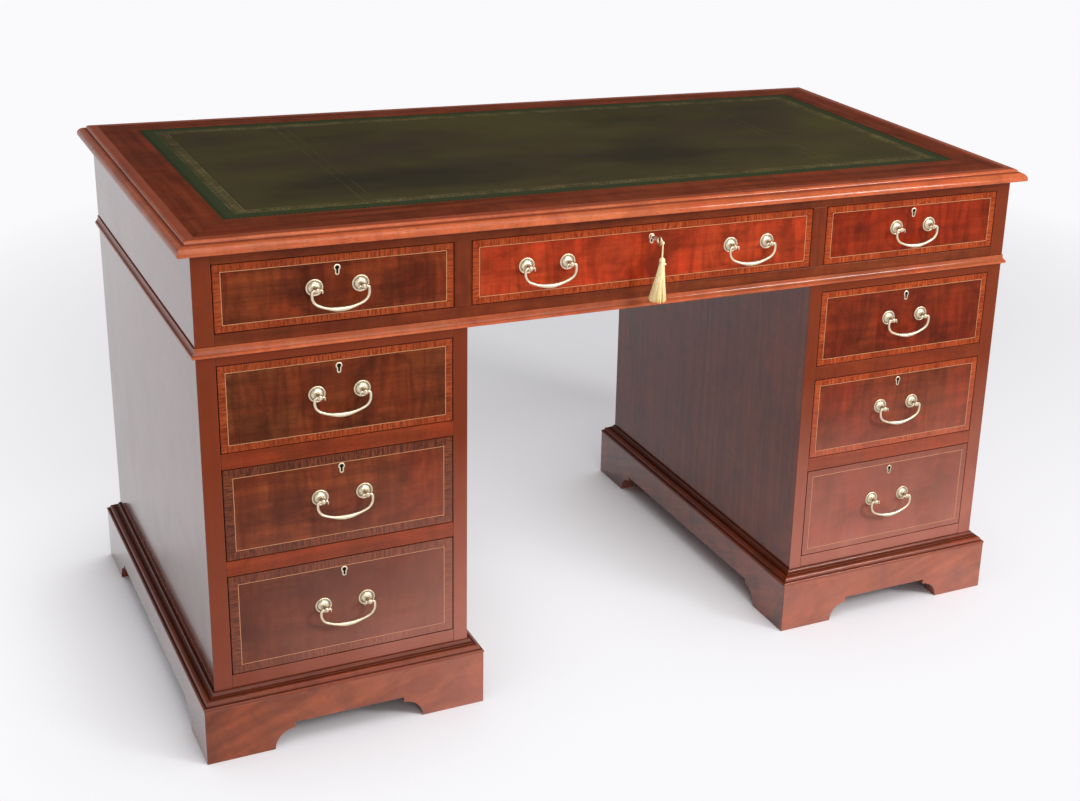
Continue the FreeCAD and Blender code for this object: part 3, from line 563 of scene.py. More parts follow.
def new_group(
    name: str, vectors: Sequence[str], numbers: Sequence[str], outputs: Sequence[str]
) -> tuple[Graph, dict[str, Socket], dict[str, Socket]]:
    """Starts a node group.

    Args:
        name: the group's name.
        vectors, numbers: names of the vectors and of the numbers that it takes.
        outputs: names of the numbers that it puts out.

    Returns:
        Its graph, its input sockets and its output sockets, the last two by name.
    """
    tree = bpy.data.node_groups.new(name, "ShaderNodeTree")
    kinds = (("INPUT", "Vector", vectors), ("INPUT", "Float", numbers), ("OUTPUT", "Float", outputs))
    for way, kind, sockets in kinds:
        for socket in sockets:
            tree.interface.new_socket(socket, in_out=way, socket_type=f"NodeSocket{kind}")
    start = tree.nodes.new("NodeGroupInput").outputs
    end = tree.nodes.new("NodeGroupOutput").inputs
    return Graph(tree), {socket.name: socket for socket in start}, {socket.name: socket for socket in end}


def mahogany_figure() -> NodeTree:
    """The figure of mahogany from a place in the timber: stripe, pores, mottle, cross ripple and red flush.

    Noise stretched along the grain gives the stripe and the pores; noise drawn across it gives the ripple.
    """
    outputs = ("Stripe", "Pores", "Mottle", "Ripple", "Flush")
    graph, start, end = new_group("mahogany_figure", ["Grain"], [], outputs)
    wander = graph.noise(graph.stretch(start["Grain"], (2.5, 7, 7)), 1, 2)
    along, across, through = graph.parts(start["Grain"])
    bent = graph.vector(along, graph.times(wander, 0.05, across), through)

    def drawn(lengthwise: float, crosswise: float, *texture: float) -> Socket:
        """Noise with a scale along the bent grain, one across it, its detail, roughness and warp."""
        return graph.noise(graph.stretch(bent, (lengthwise, crosswise, crosswise)), 1, *texture)

    graph.feed(end["Stripe"], drawn(2.2, 75, 5, 0.62))
    graph.feed(end["Pores"], graph.span(drawn(130, 1500, 1, 0.4), 0.6, 0.74))
    graph.feed(end["Mottle"], drawn(13, 17, 4, 0.6, 0.6))
    graph.feed(end["Ripple"], graph.span(drawn(70, 9, 2, 0.5, 0.8), 0.38, 0.7))
    graph.feed(end["Flush"], graph.span(drawn(9, 6, 3, 0.55, 0.4), 0.42, 0.66))
    return graph.tree


def polish_wear() -> NodeTree:
    """How an old polish varies over the object: cloudy smears, fine scratches and small bruises."""
    graph, start, end = new_group("polish_wear", ["Place"], [], ("Smear", "Scratch", "Bruise"))
    cloud = graph.noise(start["Place"], 9, 4, 0.6, 0.5)
    graph.feed(end["Smear"], graph.span(cloud, 0.3, 0.75))
    scratch = graph.noise(graph.stretch(start["Place"], (40, 900, 900), (0.3, 0.2, 0.5)), 1, 1)
    graph.feed(end["Scratch"], graph.span(scratch, 0.68, 0.78))
    bruise = graph.noise(start["Place"], 60, 2, 0.5, 1)
    graph.feed(end["Bruise"], graph.span(bruise, 0.7, 0.8))
    return graph.tree


def crossband_inlay() -> NodeTree:
    """Where a drawer's crossbanding and its pale line lie on the front face.

    The distance from the nearest edge picks the band and the line. The band's grain runs square to that edge,
    so its stripes follow the other coordinate.
    """
    sizes = ("Half width", "Half height", "Band width")
    outputs = ("Band", "Line", "Joint", "Stripe", "Patch")
    graph, start, end = new_group("crossband_inlay", ("Place", "Centre"), sizes, outputs)
    x, y, z = graph.parts(start["Place"])
    middle_x, face_y, middle_z = graph.parts(start["Centre"])
    half = (start["Half width"], start["Half height"])
    edge, upright, along = graph.nearest_edge((x, z), (middle_x, middle_z), half)
    wobble = graph.noise(start["Place"], 45, 2)
    edge = graph.times(graph.math("SUBTRACT", wobble, 0.5), 0.4 * MM, edge)
    face = graph.math("LESS_THAN", y, graph.math("ADD", face_y, 0.7 * MM))
    past = graph.math("SUBTRACT", edge, start["Band width"])
    band = graph.span(past, 0.15 * MM, -0.15 * MM)
    graph.feed(end["Band"], graph.times(band, face))
    for name, distance, inner, outer in (("Line", 0.6, 0.35, 0.65), ("Joint", 1.4, 0.15, 0.5)):
        line = graph.span(graph.apart(past, distance * MM), outer * MM, inner * MM)
        graph.feed(end[name], graph.times(line, face))
    stripes = graph.vector(along, graph.times(edge, 0.12), upright)
    graph.feed(end["Stripe"], graph.span(graph.noise(stripes, 380, 2, 0.7), 0.38, 0.6))
    graph.feed(end["Patch"], graph.span(graph.noise(stripes, 13, 2), 0.4, 0.62))
    return graph.tree


def gold_tooling() -> NodeTree:
    """The blind and gold tooling of a leather.

    Lines and a running ornament follow the edge by the distance from it. Two blind lines on either side, at a
    set distance from the middle, part the hide into three panels.
    """
    sizes = ("Half width", "Half depth")
    outputs = ("Gold", "Press", "Edge", "Parting", "Dots")
    graph, start, end = new_group("gold_tooling", ("Place", "Centre"), sizes, outputs)
    place, centre = graph.parts(start["Place"]), graph.parts(start["Centre"])
    edge, _, along = graph.nearest_edge(place, centre, [start[size] for size in sizes])
    from_middle = graph.apart(place[0], centre[0])

    def ruled(value: Value, distance: float, half: float) -> Socket:
        """A line where a value is at a distance."""
        return graph.span(graph.apart(value, distance), half, 0.6 * half)

    def spots(pitch: float, distance: float, radius: float) -> Socket:
        """A row of round spots at a distance from the edge."""
        beside = graph.math("PINGPONG", along, pitch / 2)
        inward = graph.math("SUBTRACT", edge, distance)
        away = graph.math("SQRT", graph.times(beside, beside, graph.math("POWER", inward, 2)))
        return graph.span(away, radius, 0.65 * radius)

    outer, inner = TOOLED_LINES
    band = (outer + inner) / 2
    wave = graph.math("SINE", graph.times(along, 2 * math.pi / (16 * MM)))
    vine = graph.apart(edge, graph.times(wave, 4 * MM, band))
    curl = graph.span(vine, 1.0 * MM, 0.6 * MM)
    ornament = graph.math("MAXIMUM", curl, spots(8 * MM, band, 2.2 * MM))
    lines = graph.math("MAXIMUM", ruled(edge, outer, 0.7 * MM), ruled(edge, inner, 0.9 * MM))
    pattern = graph.math("MAXIMUM", ornament, lines)
    dots = spots(7 * MM, 4 * MM, 2.2 * MM)
    far, near = PARTING_LINES
    parting = graph.math("MAXIMUM", ruled(from_middle, far, 1 * MM), ruled(from_middle, near, 0.8 * MM))
    graph.feed(end["Press"], graph.math("MAXIMUM", graph.math("MAXIMUM", pattern, dots), parting))
    worn = graph.span(graph.noise(start["Place"], 30, 4, 0.75), 0.38, 0.66)
    ground = graph.times(ruled(edge, band, (inner - outer) / 2), 0.22)
    graph.feed(end["Gold"], graph.times(graph.math("MAXIMUM", pattern, ground), worn))
    graph.feed(end["Edge"], edge)
    graph.feed(end["Parting"], graph.times(parting, worn))
    graph.feed(end["Dots"], dots)
    return graph.tree


def brass_tarnish() -> NodeTree:
    """How cast brass dulls: cloudy tarnish, pits and rubbed streaks, from a place on the object."""
    graph, start, end = new_group("brass_tarnish", ["Place"], [], ("Tarnish", "Pits", "Rub"))
    graph.feed(end["Tarnish"], graph.span(graph.noise(start["Place"], 160, 4, 0.65), 0.35, 0.7))
    graph.feed(end["Pits"], graph.span(graph.noise(start["Place"], 1400, 2), 0.55, 0.8))
    graph.feed(end["Rub"], graph.noise(graph.stretch(start["Place"], (300, 2500, 2500)), 1, 2))
    return graph.tree


class Effects:
    """The node groups that the finishes share, each made once."""

    def __init__(self) -> None:
        """Makes the groups."""
        self.figure = mahogany_figure()
        self.polish = polish_wear()
        self.inlay = crossband_inlay()
        self.tooling = gold_tooling()
        self.tarnish = brass_tarnish()


@dataclass(frozen=True)
class Finish:
    """What a piece is finished with: its material's name and the record's slot for it; the slot is not used.
    """

    name: str
    slot: str

    def sockets(self, graph: Graph, effects: Effects) -> dict[str, Value]:
        """What the shader gets; each finish has its own.

        Args:
            graph, effects: its nodes and the shared groups.

        Returns:
            Values by socket name.
        """
        raise NotImplementedError

    def material(self, effects: Effects) -> Material:
        """Makes the material, with one Principled shader.

        Args:
            effects: the shared node groups.

        Returns:
            The material.
        """
        material = bpy.data.materials.new(self.name)
        material.use_nodes = True
        graph = Graph(material.node_tree)
        shader = material.node_tree.nodes["Principled BSDF"]
        for socket, value in self.sockets(graph, effects).items():
            graph.feed(shader.inputs[socket], value)
        return material


@dataclass(frozen=True)
class Inlay:
    """A drawer front's crossbanding: where the front is, and the colours of its band."""

    centre: Place
    half_width: float
    half_height: float
    pale: Colour
    dark: Colour
    band: float


class Face(Enum):
    """A way that faces look, as the axis of their normal and its sign."""

    UP = (2, 1)
    FORWARD = (1, -1)


@dataclass(frozen=True)
class Mahogany(Finish):
    """French-polished mahogany.

    Fields:
        pale, dark: the screen colours of its stripes.
        deep: the screen colour of its mottle.
        mottle, ripple, flush: how strongly these show.
        roughness: of the polish.
        specular: the polish's strength of reflection.
        relief: how deep its pores feel.
        painted_wash: the share of a pale wash on front faces at the floor, a painted reflection; it fades out
        at the height of the knee and towards the desk's left end.
        coat: the weight of a clear polish on the faces that aren't matt.
        matt: the faces that are matt where there is a clear polish; they also take a painted shade.
        facing_shade_colour: the screen colour of that painted shade, the mottle's if there is none.
        facing_shade_share: how much of that painted shade they take.
        slant: how far the grain is turned from the board's length, in radians.
        inlay: the crossbanding, on a drawer front.
    """

    pale: Colour
    dark: Colour
    deep: Colour
    mottle: float = 0.5
    ripple: float = 0.2
    flush: float = 0.25
    roughness: float = 0.3
    specular: float = 0.1
    relief: float = 0.5
    painted_wash: float = 0.6
    coat: float = 0
    matt: Face = Face.UP
    facing_shade_colour: Optional[Colour] = None
    facing_shade_share: float = 0.75
    slant: float = 0
    inlay: Optional[Inlay] = None

    def sockets(self, graph: Graph, effects: Effects) -> dict[str, Value]:
        """What the shader gets.

        Args:
            graph, effects: its nodes and the shared groups.

        Returns:
            Values by socket name.
        """
        timber = graph.attribute("grain").outputs["Vector"]
        if self.slant:
            timber = graph.stretch(timber, (1, 1, 1), (0, self.slant, 0))
        place = graph.place()
        figure = graph.group(effects.figure, {"Grain": timber})
        polish = graph.group(effects.polish, {"Place": place})
        deep = np.array(self.deep)
        colour = graph.mix(graph.span(figure["Stripe"], 0.32, 0.68), srgb(*self.dark), srgb(*self.pale))
        colour = graph.tint(colour, figure["Flush"], self.flush, np.array(self.pale) * FLUSH)
        colour = graph.tint(colour, graph.span(figure["Mottle"], 0.45, 0.68), self.mottle, deep)
        colour = graph.tint(colour, figure["Ripple"], self.ripple, deep)
        height = graph.times(figure["Pores"], -1)
        if self.inlay:
            colour, height = self.inlaid(graph, effects, colour, height)
        # The hollows of mouldings are darkened: painted shade.
        painted_hollow_shade = graph.attribute("hollow").outputs["Fac"]
        colour = graph.tint(colour, figure["Pores"], share=0.45, over=0.35 * deep)
        colour = graph.tint(colour, painted_hollow_shade, share=0.75, over=0.4 * deep)
        colour = graph.tint(colour, polish["Bruise"], share=0.35, over=deep)
        normal = graph.parts(graph.add("TexCoord").outputs["Normal"])
        coat = {}
        if self.coat:
            axis, sign = self.matt.value
            matt = graph.span(normal[axis], 0.9 * sign, 0.99 * sign)
            # Faces turned the matt way take a painted shade colour; the others get the clear polish.
            colour = graph.tint(colour, matt, self.facing_shade_share, self.facing_shade_colour or self.deep)
            coat = {"Coat Weight": graph.span(matt, 1, 0, 0, self.coat), "Coat Roughness": 0.1}
        across, _, up = graph.parts(place)
        # A pale wash on front faces near the floor, less towards the knee and the left end: a painted
        # reflection of the floor.
        low = graph.span(up, KNEE_HEIGHT, 0, 0, self.painted_wash)
        painted_wash_mask = graph.times(low, graph.span(normal[1], -0.6, -0.95))
        painted_wash_mask = graph.times(painted_wash_mask, graph.span(across, *PAINTED_WASH_FADES, 0.25, 1))
        painted_wash_mask = graph.times(painted_wash_mask, graph.times(polish["Smear"], 0.4, 0.75))
        colour = graph.mix(painted_wash_mask, colour, srgb(*PAINTED_WASH_COLOUR))
        gloss = graph.times(polish["Smear"], 0.1, self.roughness - 0.05)
        gloss = graph.times(figure["Pores"], 0.1, gloss)
        gloss = graph.times(polish["Scratch"], 0.06, gloss)
        return coat | {
            "Base Color": colour,
            "Roughness": gloss,
            "Normal": graph.bump(height, 0.04 * MM, self.relief),
            "Specular IOR Level": self.specular,
        }

    def inlaid(self, graph: Graph, effects: Effects, colour: Value, height: Value) -> tuple[Value, Value]:
        """Lays the crossbanding and its pale line over a front's colour.

        Args:
            graph, effects: as in sockets.
            colour, height: the front's own colour and relief.

        Returns:
            The colour and relief with the inlay.
        """
        lay = self.inlay
        inputs = {"Place": graph.place(), "Centre": lay.centre, "Band width": lay.band}
        inputs |= {"Half width": lay.half_width, "Half height": lay.half_height}
        inlay = graph.group(effects.inlay, inputs)
        band = graph.mix(inlay["Stripe"], srgb(*lay.dark), srgb(*lay.pale))
        band = graph.tint(band, inlay["Patch"], share=0.6, over=lay.dark)
        colour = graph.mix(inlay["Band"], colour, band)
        colour = graph.tint(colour, inlay["Line"], share=0.8, over=STRINGING)
        colour = graph.tint(colour, inlay["Joint"], share=0.6, over=0.4 * np.array(self.deep))
        return colour, graph.times(inlay["Joint"], -1.5, height)


@dataclass(frozen=True)
class Leather(Finish):
    """Skived hide with worn gold tooling round its edge.

    Fields:
        centre, half_width, half_depth: where the hide lies.
        olive, brown, black: screen colours of the hide.
        green: the screen colour of its margin, which kept its dye.
        gold: the screen colour of the tooling.
    """

    centre: Place
    half_width: float
    half_depth: float
    olive: Colour = (76, 70, 42)
    brown: Colour = (64, 54, 42)
    black: Colour = (46, 43, 36)
    green: Colour = (54, 64, 42)
    gold: Colour = (156, 140, 96)

    def sockets(self, graph: Graph, effects: Effects) -> dict[str, Value]:
        """What the shader gets.

        Args:
            graph, effects: its nodes and the shared groups.

        Returns:
            Values by socket name.
        """
        place = graph.place()
        inputs = {"Place": place, "Centre": self.centre}
        inputs |= {"Half width": self.half_width, "Half depth": self.half_depth}
        tooling = graph.group(effects.tooling, inputs)
        cloud = graph.noise(graph.stretch(place, (3.2, 7, 1)), 1, 4, 0.55, 0.3)
        colour = graph.mix(graph.span(cloud, 0.34, 0.66), srgb(*self.brown), srgb(*self.olive))
        dusk = graph.noise(graph.stretch(place, (2.6, 5, 1), shift=(3, 1, 0)), 1, 3, 0.5)
        colour = graph.mix(graph.span(dusk, 0.48, 0.7, 0, 0.7), colour, srgb(*self.black))
        rim = graph.span(tooling["Edge"], 90 * MM, 35 * MM, 0, 0.45)
        colour = graph.mix(rim, colour, srgb(*self.olive))
        line = TOOLED_LINES[0]
        margin = graph.span(tooling["Edge"], line + 1 * MM, line - 1 * MM, 0, 0.8)
        colour = graph.mix(margin, colour, srgb(*self.green))
        fleck = graph.span(graph.noise(place, 240, 3, 0.6), 0.56, 0.74, 0, 0.4)
        colour = graph.mix(fleck, colour, srgb(*self.black))
        colour = graph.tint(colour, tooling["Parting"], share=0.2, over=self.gold)
        colour = graph.tint(colour, tooling["Dots"], share=0.7, over=0.6 * np.array(self.black))
        colour = graph.tint(colour, tooling["Gold"], share=0.6, over=self.gold)
        pebble = graph.add("TexVoronoi", {"Vector": place, "Scale": 900}, feature="DISTANCE_TO_EDGE")
        height = graph.math("MINIMUM", graph.times(pebble.outputs[0], 3), 0.6)
        height = graph.times(tooling["Press"], -2.5, height)
        gloss = graph.times(tooling["Gold"], -0.12, graph.span(cloud, 0.3, 0.7, 0.6, 0.72))
        return {
            "Base Color": colour,
            "Roughness": gloss,
            "Normal": graph.bump(height, 0.08 * MM, 0.7),
            "Specular IOR Level": 0.006,
        }


@dataclass(frozen=True)
class Brass(Finish):
    """Cast brass, satin and a little dulled.

    Fields:
        bright, dull: screen colours of the rubbed and the tarnished metal.
        roughness: of the rubbed metal.
    """

    bright: Colour = (240, 226, 198)
    dull: Colour = (178, 160, 124)
    roughness: float = 0.3

    def sockets(self, graph: Graph, effects: Effects) -> dict[str, Value]:
        """What the shader gets.

        Args:
            graph, effects: its nodes and the shared groups.

        Returns:
            Values by socket name.
        """
        tarnish = graph.group(effects.tarnish, {"Place": graph.place()})
        colour = graph.tint(srgb(*self.bright), tarnish["Tarnish"], share=0.55, over=self.dull)
        dirt = graph.attribute("hollow").outputs["Fac"]
        colour = graph.tint(colour, dirt, share=0.6, over=0.4 * np.array(self.dull))
        gloss = graph.times(tarnish["Tarnish"], 0.14, self.roughness)
        gloss = graph.times(dirt, 0.3, gloss)
        rub = graph.times(tarnish["Rub"], 0.2)
        height = graph.times(tarnish["Pits"], -0.6, rub)
        normal = graph.bump(height, 0.03 * MM, 0.5)
        return {"Base Color": colour, "Roughness": gloss, "Normal": normal, "Metallic": 1}


@dataclass(frozen=True)
class Silk(Finish):
    """Floss silk, in threads or wound.

    Fields:
        pale, gold, deep: screen colours of the threads, deepest at the tassel's foot.
        neck, foot: the heights that the deep colour comes in between.
    """

    pale: Colour = (255, 246, 206)
    gold: Colour = (244, 218, 146)
    deep: Colour = (232, 186, 84)
    neck: float = 675 * MM
    foot: float = 635 * MM

    def sockets(self, graph: Graph, effects: Effects) -> dict[str, Value]:
        """What the shader gets.

        Args:
            graph, effects: its nodes and the shared groups.

        Returns:
            Values by socket name.
        """
        place = graph.place()
        thread = graph.noise(graph.stretch(place, (900, 900, 60)), 1, 2)
        colour = graph.mix(graph.span(thread, 0.35, 0.65), srgb(*self.gold), srgb(*self.pale))
        golden = graph.span(graph.parts(place)[2], self.neck, self.foot, 0, 0.6)
        golden = graph.times(golden, graph.span(thread, 0.6, 0.4, 0.4, 1))
        colour = graph.mix(golden, colour, srgb(*self.deep))
        winding = {"wave_type": "BANDS", "bands_direction": "DIAGONAL"}
        twist = graph.add("TexWave", {"Vector": place, "Scale": 260}, **winding)
        return {
            "Base Color": colour,
            "Roughness": graph.span(thread, 0.3, 0.7, 0.5, 0.62),
            "Normal": graph.bump(twist.outputs[1], 0.1 * MM, 0.5),
            "Sheen Weight": 0.2,
            "Specular IOR Level": 0.3,
        }


@dataclass(frozen=True)
class Shade(Finish):
    """The dark inside of a keyhole: painted shade, a dark sheet at the face where the hole is."""

    colour: Colour = (26, 17, 13)

    def sockets(self, graph: Graph, effects: Effects) -> dict[str, Value]:
        """What the shader gets.

        Args:
            graph, effects: its nodes and the shared groups.

        Returns:
            Values by socket name.
        """
        tarnish = graph.group(effects.tarnish, {"Place": graph.place()})
        colour = graph.mix(tarnish["Tarnish"], srgb(*self.colour), srgb(*(0.6 * np.array(self.colour))))
        gloss = graph.span(tarnish["Pits"], 0, 1, 0.6, 0.9)
        return {"Base Color": colour, "Roughness": gloss, "Specular IOR Level": 0.05}


CASE_WOOD = Mahogany("case_mahogany", "mahogany_case", (132, 60, 28), (96, 40, 17), (68, 25, 11))
RAIL_WOOD = Mahogany("rail_mahogany", "mahogany_case", (148, 62, 29), (112, 46, 21), (82, 31, 14), painted_wash=0.35)
PANEL_WOOD = Mahogany(
    "panel_mahogany", "mahogany_case", (138, 64, 36), (100, 44, 24), (76, 30, 18),
    roughness=0.15, specular=0.12, relief=0.12, coat=0.5,
    matt=Face.FORWARD, facing_shade_colour=(116, 46, 17), facing_shade_share=0.8,
)
DARK_WOOD = Mahogany("inner_mahogany", "mahogany_dark", (112, 58, 40), (82, 38, 26), (58, 26, 18), painted_wash=0)
PLINTH_WOOD = Mahogany(
    "plinth_mahogany", "mahogany_case", (160, 80, 42), (110, 50, 25), (66, 28, 16),
    mottle=0.8, ripple=0.15, flush=0.3, roughness=0.18, specular=0.2, relief=0.2, painted_wash=0.4, coat=0.8,
    matt=Face.FORWARD, facing_shade_colour=(140, 68, 36), facing_shade_share=0.1, slant=0.32,
)
BASE_WOOD = Mahogany(
    "base_mahogany", "mahogany_case", (146, 68, 37), (108, 48, 25), (76, 31, 16),
    specular=0.04, painted_wash=0.25, coat=0.3,
)
MOULDING_WOOD = Mahogany(
    "moulding_mahogany", "mahogany_moulding", (212, 115, 70), (170, 81, 46), (128, 53, 29),
    specular=0.02, coat=0.4,
)
BORDER_WOOD = Mahogany(
    "border_mahogany", "mahogany_dark", (134, 62, 34), (96, 40, 20), (70, 27, 12),
    roughness=0.4, specular=0.006,
)
LINING_WOOD = Mahogany(
    "drawer_lining_wood", "drawer_lining", (196, 152, 104), (164, 120, 76), (140, 98, 60),
    roughness=0.5, painted_wash=0,
)
BRASS = Brass("satin_brass", "brass")
SILK = Silk("gold_silk", "silk")
KEYHOLE_SHADE = Shade("keyhole_shade", "mahogany_dark")


def placed(name: str, data: ID) -> Object:
    """A new object in the scene."""
    thing = bpy.data.objects.new(name, data)
    bpy.context.scene.collection.objects.link(thing)
    return thing


class Bench:
    """Where pieces are put together: turns surfaces into objects, and dresses them."""

    def __init__(self) -> None:
        """Makes the shared effects."""
        self.effects = Effects()
        self.materials: dict[str, Material] = {}

    def material(self, finish: Finish) -> Material:
        """The material of a finish, made at its first use."""
        if finish.name not in self.materials:
            self.materials[finish.name] = finish.material(self.effects)
        return self.materials[finish.name]

    def piece(
        self, name: str, surface: Surface, finish: Finish, body: str = "case", nodes: Sequence[str] = (),
        smooth: float = 0, bevel: float = 0,
    ) -> Object:
        """Makes an object of a surface.

        Args:
            name: the piece's name.
            surface: its shape.
            finish: what it is finished with.
            body: the body that it rides on.
            nodes: the frame's nodes that it stands for.
            smooth: the sharpest turn, in degrees, that is shaded as a curve; 0 for flat faces.
            bevel: the width of its arrises, where the surface has none.

        Returns:
            The object.
        """
        mesh = bpy.data.meshes.new(name)
        mesh.from_pydata(surface.points.tolist(), [], surface.quads.tolist() + surface.caps)
        if smooth:
            mesh.shade_smooth()
            mesh.set_sharp_from_angle(angle=math.radians(smooth))
        if surface.hollow is not None:
            hollow = mesh.attributes.new("hollow", "FLOAT", "POINT")
            hollow.data.foreach_set("value", surface.hollow.astype(np.float32))
        return self.dressed(mesh, surface.grain, finish, body, nodes, bevel)

    def softened(self, name: str, node: str, finish: Finish, body: str, bevel: float) -> Object:
        """Makes an object from a copy of a frame's node, with its arrises taken off.

        Args:
            name: the piece's name.
            node: the node that is copied and replaced.
            finish, body, bevel: as in piece.

        Returns:
            The object.
        """
        form = bmesh.new()
        form.from_mesh(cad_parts[node].data)
        bmesh.ops.remove_doubles(form, verts=form.verts, dist=MERGE)
        bmesh.ops.dissolve_limit(form, angle_limit=FLAT, verts=form.verts, edges=form.edges)
        mesh = bpy.data.meshes.new(name)
        form.to_mesh(mesh)
        form.free()
        points = np.zeros(len(mesh.vertices) * 3)
        mesh.vertices.foreach_get("co", points)
        edges = np.zeros(len(mesh.edges) * 2, int)
        mesh.edges.foreach_get("vertices", edges)
        grain = timber_of_islands(points.reshape(-1, 3), edges.reshape(-1, 2))
        return self.dressed(mesh, grain, finish, body, [node], bevel)

    def dressed(
        self, mesh: Mesh, grain: Optional[Array], finish: Finish, body: str, nodes: Sequence[str],
        bevel: float,
    ) -> Object:
        """Gives a mesh its finish, its body and the nodes that it stands for.

        Args:
            mesh: the shape.
            grain: each point's place in the timber.
            finish, body, nodes, bevel: as in piece.

        Returns:
            The object.
        """
        if grain is not None:
            timber = mesh.attributes.new("grain", "FLOAT_VECTOR", "POINT")
            timber.data.foreach_set("vector", grain.astype(np.float32).ravel())
        thing = placed(mesh.name, mesh)
        mesh.materials.append(self.material(finish))
        if bevel:
            arris = thing.modifiers.new("arris", "BEVEL")
            arris.width = bevel
            arris.segments = 2
            arris.limit_method = "ANGLE"
        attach(thing, body)
        if nodes:
            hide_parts(*nodes)
        LOG.info("%s: %d faces, on %s", thing.name, len(mesh.polygons), body)
        return thing


def timber_of_islands(points: Array, edges: Array) -> Array:
    """Places in the timber for a mesh of several boards, the grain along each one's longest side.

    Every point takes the lowest number among its neighbours until nothing changes, which numbers the boards.

    Args:
        points: the places, one row each.
        edges: two point numbers a row.

    Returns:
        A place in the timber for each point.
    """
    labels = np.arange(len(points))
    while True:
        lower = labels.copy()
        np.minimum.at(lower, edges[:, 0], labels[edges[:, 1]])
        np.minimum.at(lower, edges[:, 1], labels[edges[:, 0]])
        if np.array_equal(lower, labels):
            break
        labels = lower
    timber = np.zeros_like(points)
    for label in np.unique(labels):
        inside = labels == label
        island = Surface(points[inside], np.zeros((0, 4), int))
        timber[inside] = island.timber(Grain(int(np.ptp(island.points, axis=0).argmax()))).grain
    return timber


# The case

@dataclass
class Top:
    """The top: a mitred border, the board under the leather, the leather and the moulded edges."""

    overhang: float = 20 * MM
    edge_flat: float = 11 * MM
    edge_width: float = 28.5 * MM
    leather_thickness: float = 1.5 * MM
    side_border: float = 66 * MM
    front_border: float = 82 * MM
    back_border: float = 52 * MM

    @property
    def panel(self) -> tuple[Array, Array]:
        """The low and high corner of the part inside the moulded edges, as x and y."""
        reach = self.overhang - self.edge_width
        return np.array([-CASE_HALF - reach, FRONT - reach]), np.array([CASE_HALF + reach, BACK + reach])

    @property
    def hide(self) -> tuple[Array, Array]:
        """The low and high corner of the leather, as x and y."""
        low, high = self.panel
        flat = self.edge_flat
        side = self.side_border - flat
        return low + [side, self.front_border - flat], high - [side, self.back_border - flat]

    def border(self) -> Surface:
        """The four mitred boards round the leather, and the board under it."""
        low, high = self.panel
        inner_low, inner_high = self.hide
        outer, inner = corners_of(low, high), corners_of(inner_low, inner_high)
        boards = []
        for side in range(4):
            after = (side + 1) % 4
            plan = np.array([outer[side], outer[after], inner[after], inner[side]])
            faces = [np.column_stack([plan, np.full(4, z)]) for z in (TOP_UNDERSIDE, TOP)]
            grain = Grain.DEEP if side % 2 else Grain.ALONG
            boards.append(rings_surface(np.stack(faces)).outward().timber(grain))
        floor = TOP - self.leather_thickness
        boards.append(board([*inner_low, TOP_UNDERSIDE], [*inner_high, floor], Grain.ALONG))
        return joined(boards)

    def edge_profile(self) -> Array:
        """The edge from the underside out and up: a small round, a thumb, a fillet and an ovolo."""
        width, flat, thick = self.edge_width, self.edge_flat, TOP - TOP_UNDERSIDE
        ovolo, fillet, rounding, thumb_foot, thumb = 5 * MM, 1 * MM, 2 * MM, 5 * MM, 12 * MM
        shelf = (flat + ovolo + fillet, thick - ovolo)
        return np.vstack([
            [[0, 0]],
            arc((width - rounding, 0), (width, rounding), rounding),
            arc((width, thumb_foot), shelf, thumb, steps=12),
            [shelf],
            arc((flat + ovolo, thick - ovolo), (flat, thick), ovolo),
            [[flat, thick], [0, thick]],
        ])

    def leather(self) -> Surface:
        """The hide: a grid that is close near its edges, rolled down at the rim, on a flat underside.

        The height falls off within the rim with the square of what is missing, and is pressed in under the
        two tooled lines.
        """
        low, high = self.hide
        rim_width, rim_drop, line_width, line_depth, margin = 2 * MM, 0.7 * MM, 0.3 * MM, 0.18 * MM, 60 * MM
        tooled = [line + step * line_width for line in TOOLED_LINES for step in (-1, 0, 1)]
        near = np.array(sorted([*(np.array([0, 0.5, 1, 2, 4, 10, 30, 45]) * MM), *tooled]))
        spans = [
            np.concatenate([near, np.linspace(margin, size - margin, 24), size - near[::-1]])
            for size in high - low
        ]
        x, y = np.meshgrid(low[0] + spans[0], low[1] + spans[1], indexing="ij")
        edge = np.minimum.reduce([x - low[0], high[0] - x, y - low[1], high[1] - y])
        roll = np.clip(1 - edge / rim_width, 0, 1) ** 2 * rim_drop
        press = sum(np.exp(-(((edge - line) / line_width) ** 2)) for line in TOOLED_LINES) * line_depth
        sunk, glue = 0.1 * MM, 0.05 * MM
        z = TOP - sunk - roll - press
        sheet = np.pad(np.stack([x, y, z], axis=-1), ((1, 1), (1, 1), (0, 0)), mode="edge")
        rows, columns = sheet.shape[:2]
        number = np.arange(rows * columns).reshape(rows, columns)
        rim = np.concatenate([number[0, :-1], number[:-1, -1], number[-1, :0:-1], number[:0:-1, 0]])
        points = sheet.reshape(-1, 3)
        points[rim, 2] = TOP - self.leather_thickness + glue
        return Surface(points, grid_quads(rows, columns), [rim.tolist()]).outward()

    def make(self, bench: Bench) -> None:
        """Makes the pieces of the top."""
        low, high = self.panel
        bench.piece("top_border", self.border(), BORDER_WOOD, nodes=["top_panel"])
        edges = joined(mould_round(self.edge_profile(), low, high, TOP_UNDERSIDE))
        bench.piece("top_moulded_edges", edges, MOULDING_WOOD, nodes=["top_edge_mouldings"], smooth=35)
        hide_low, hide_high = self.hide
        centre = (*((hide_low + hide_high) / 2).tolist(), TOP)
        half = ((hide_high - hide_low) / 2).tolist()
        finish = Leather("olive_hide", "leather", centre, *half)
        bench.piece("writing_leather", self.leather(), finish, nodes=["leather_inset"], smooth=35)


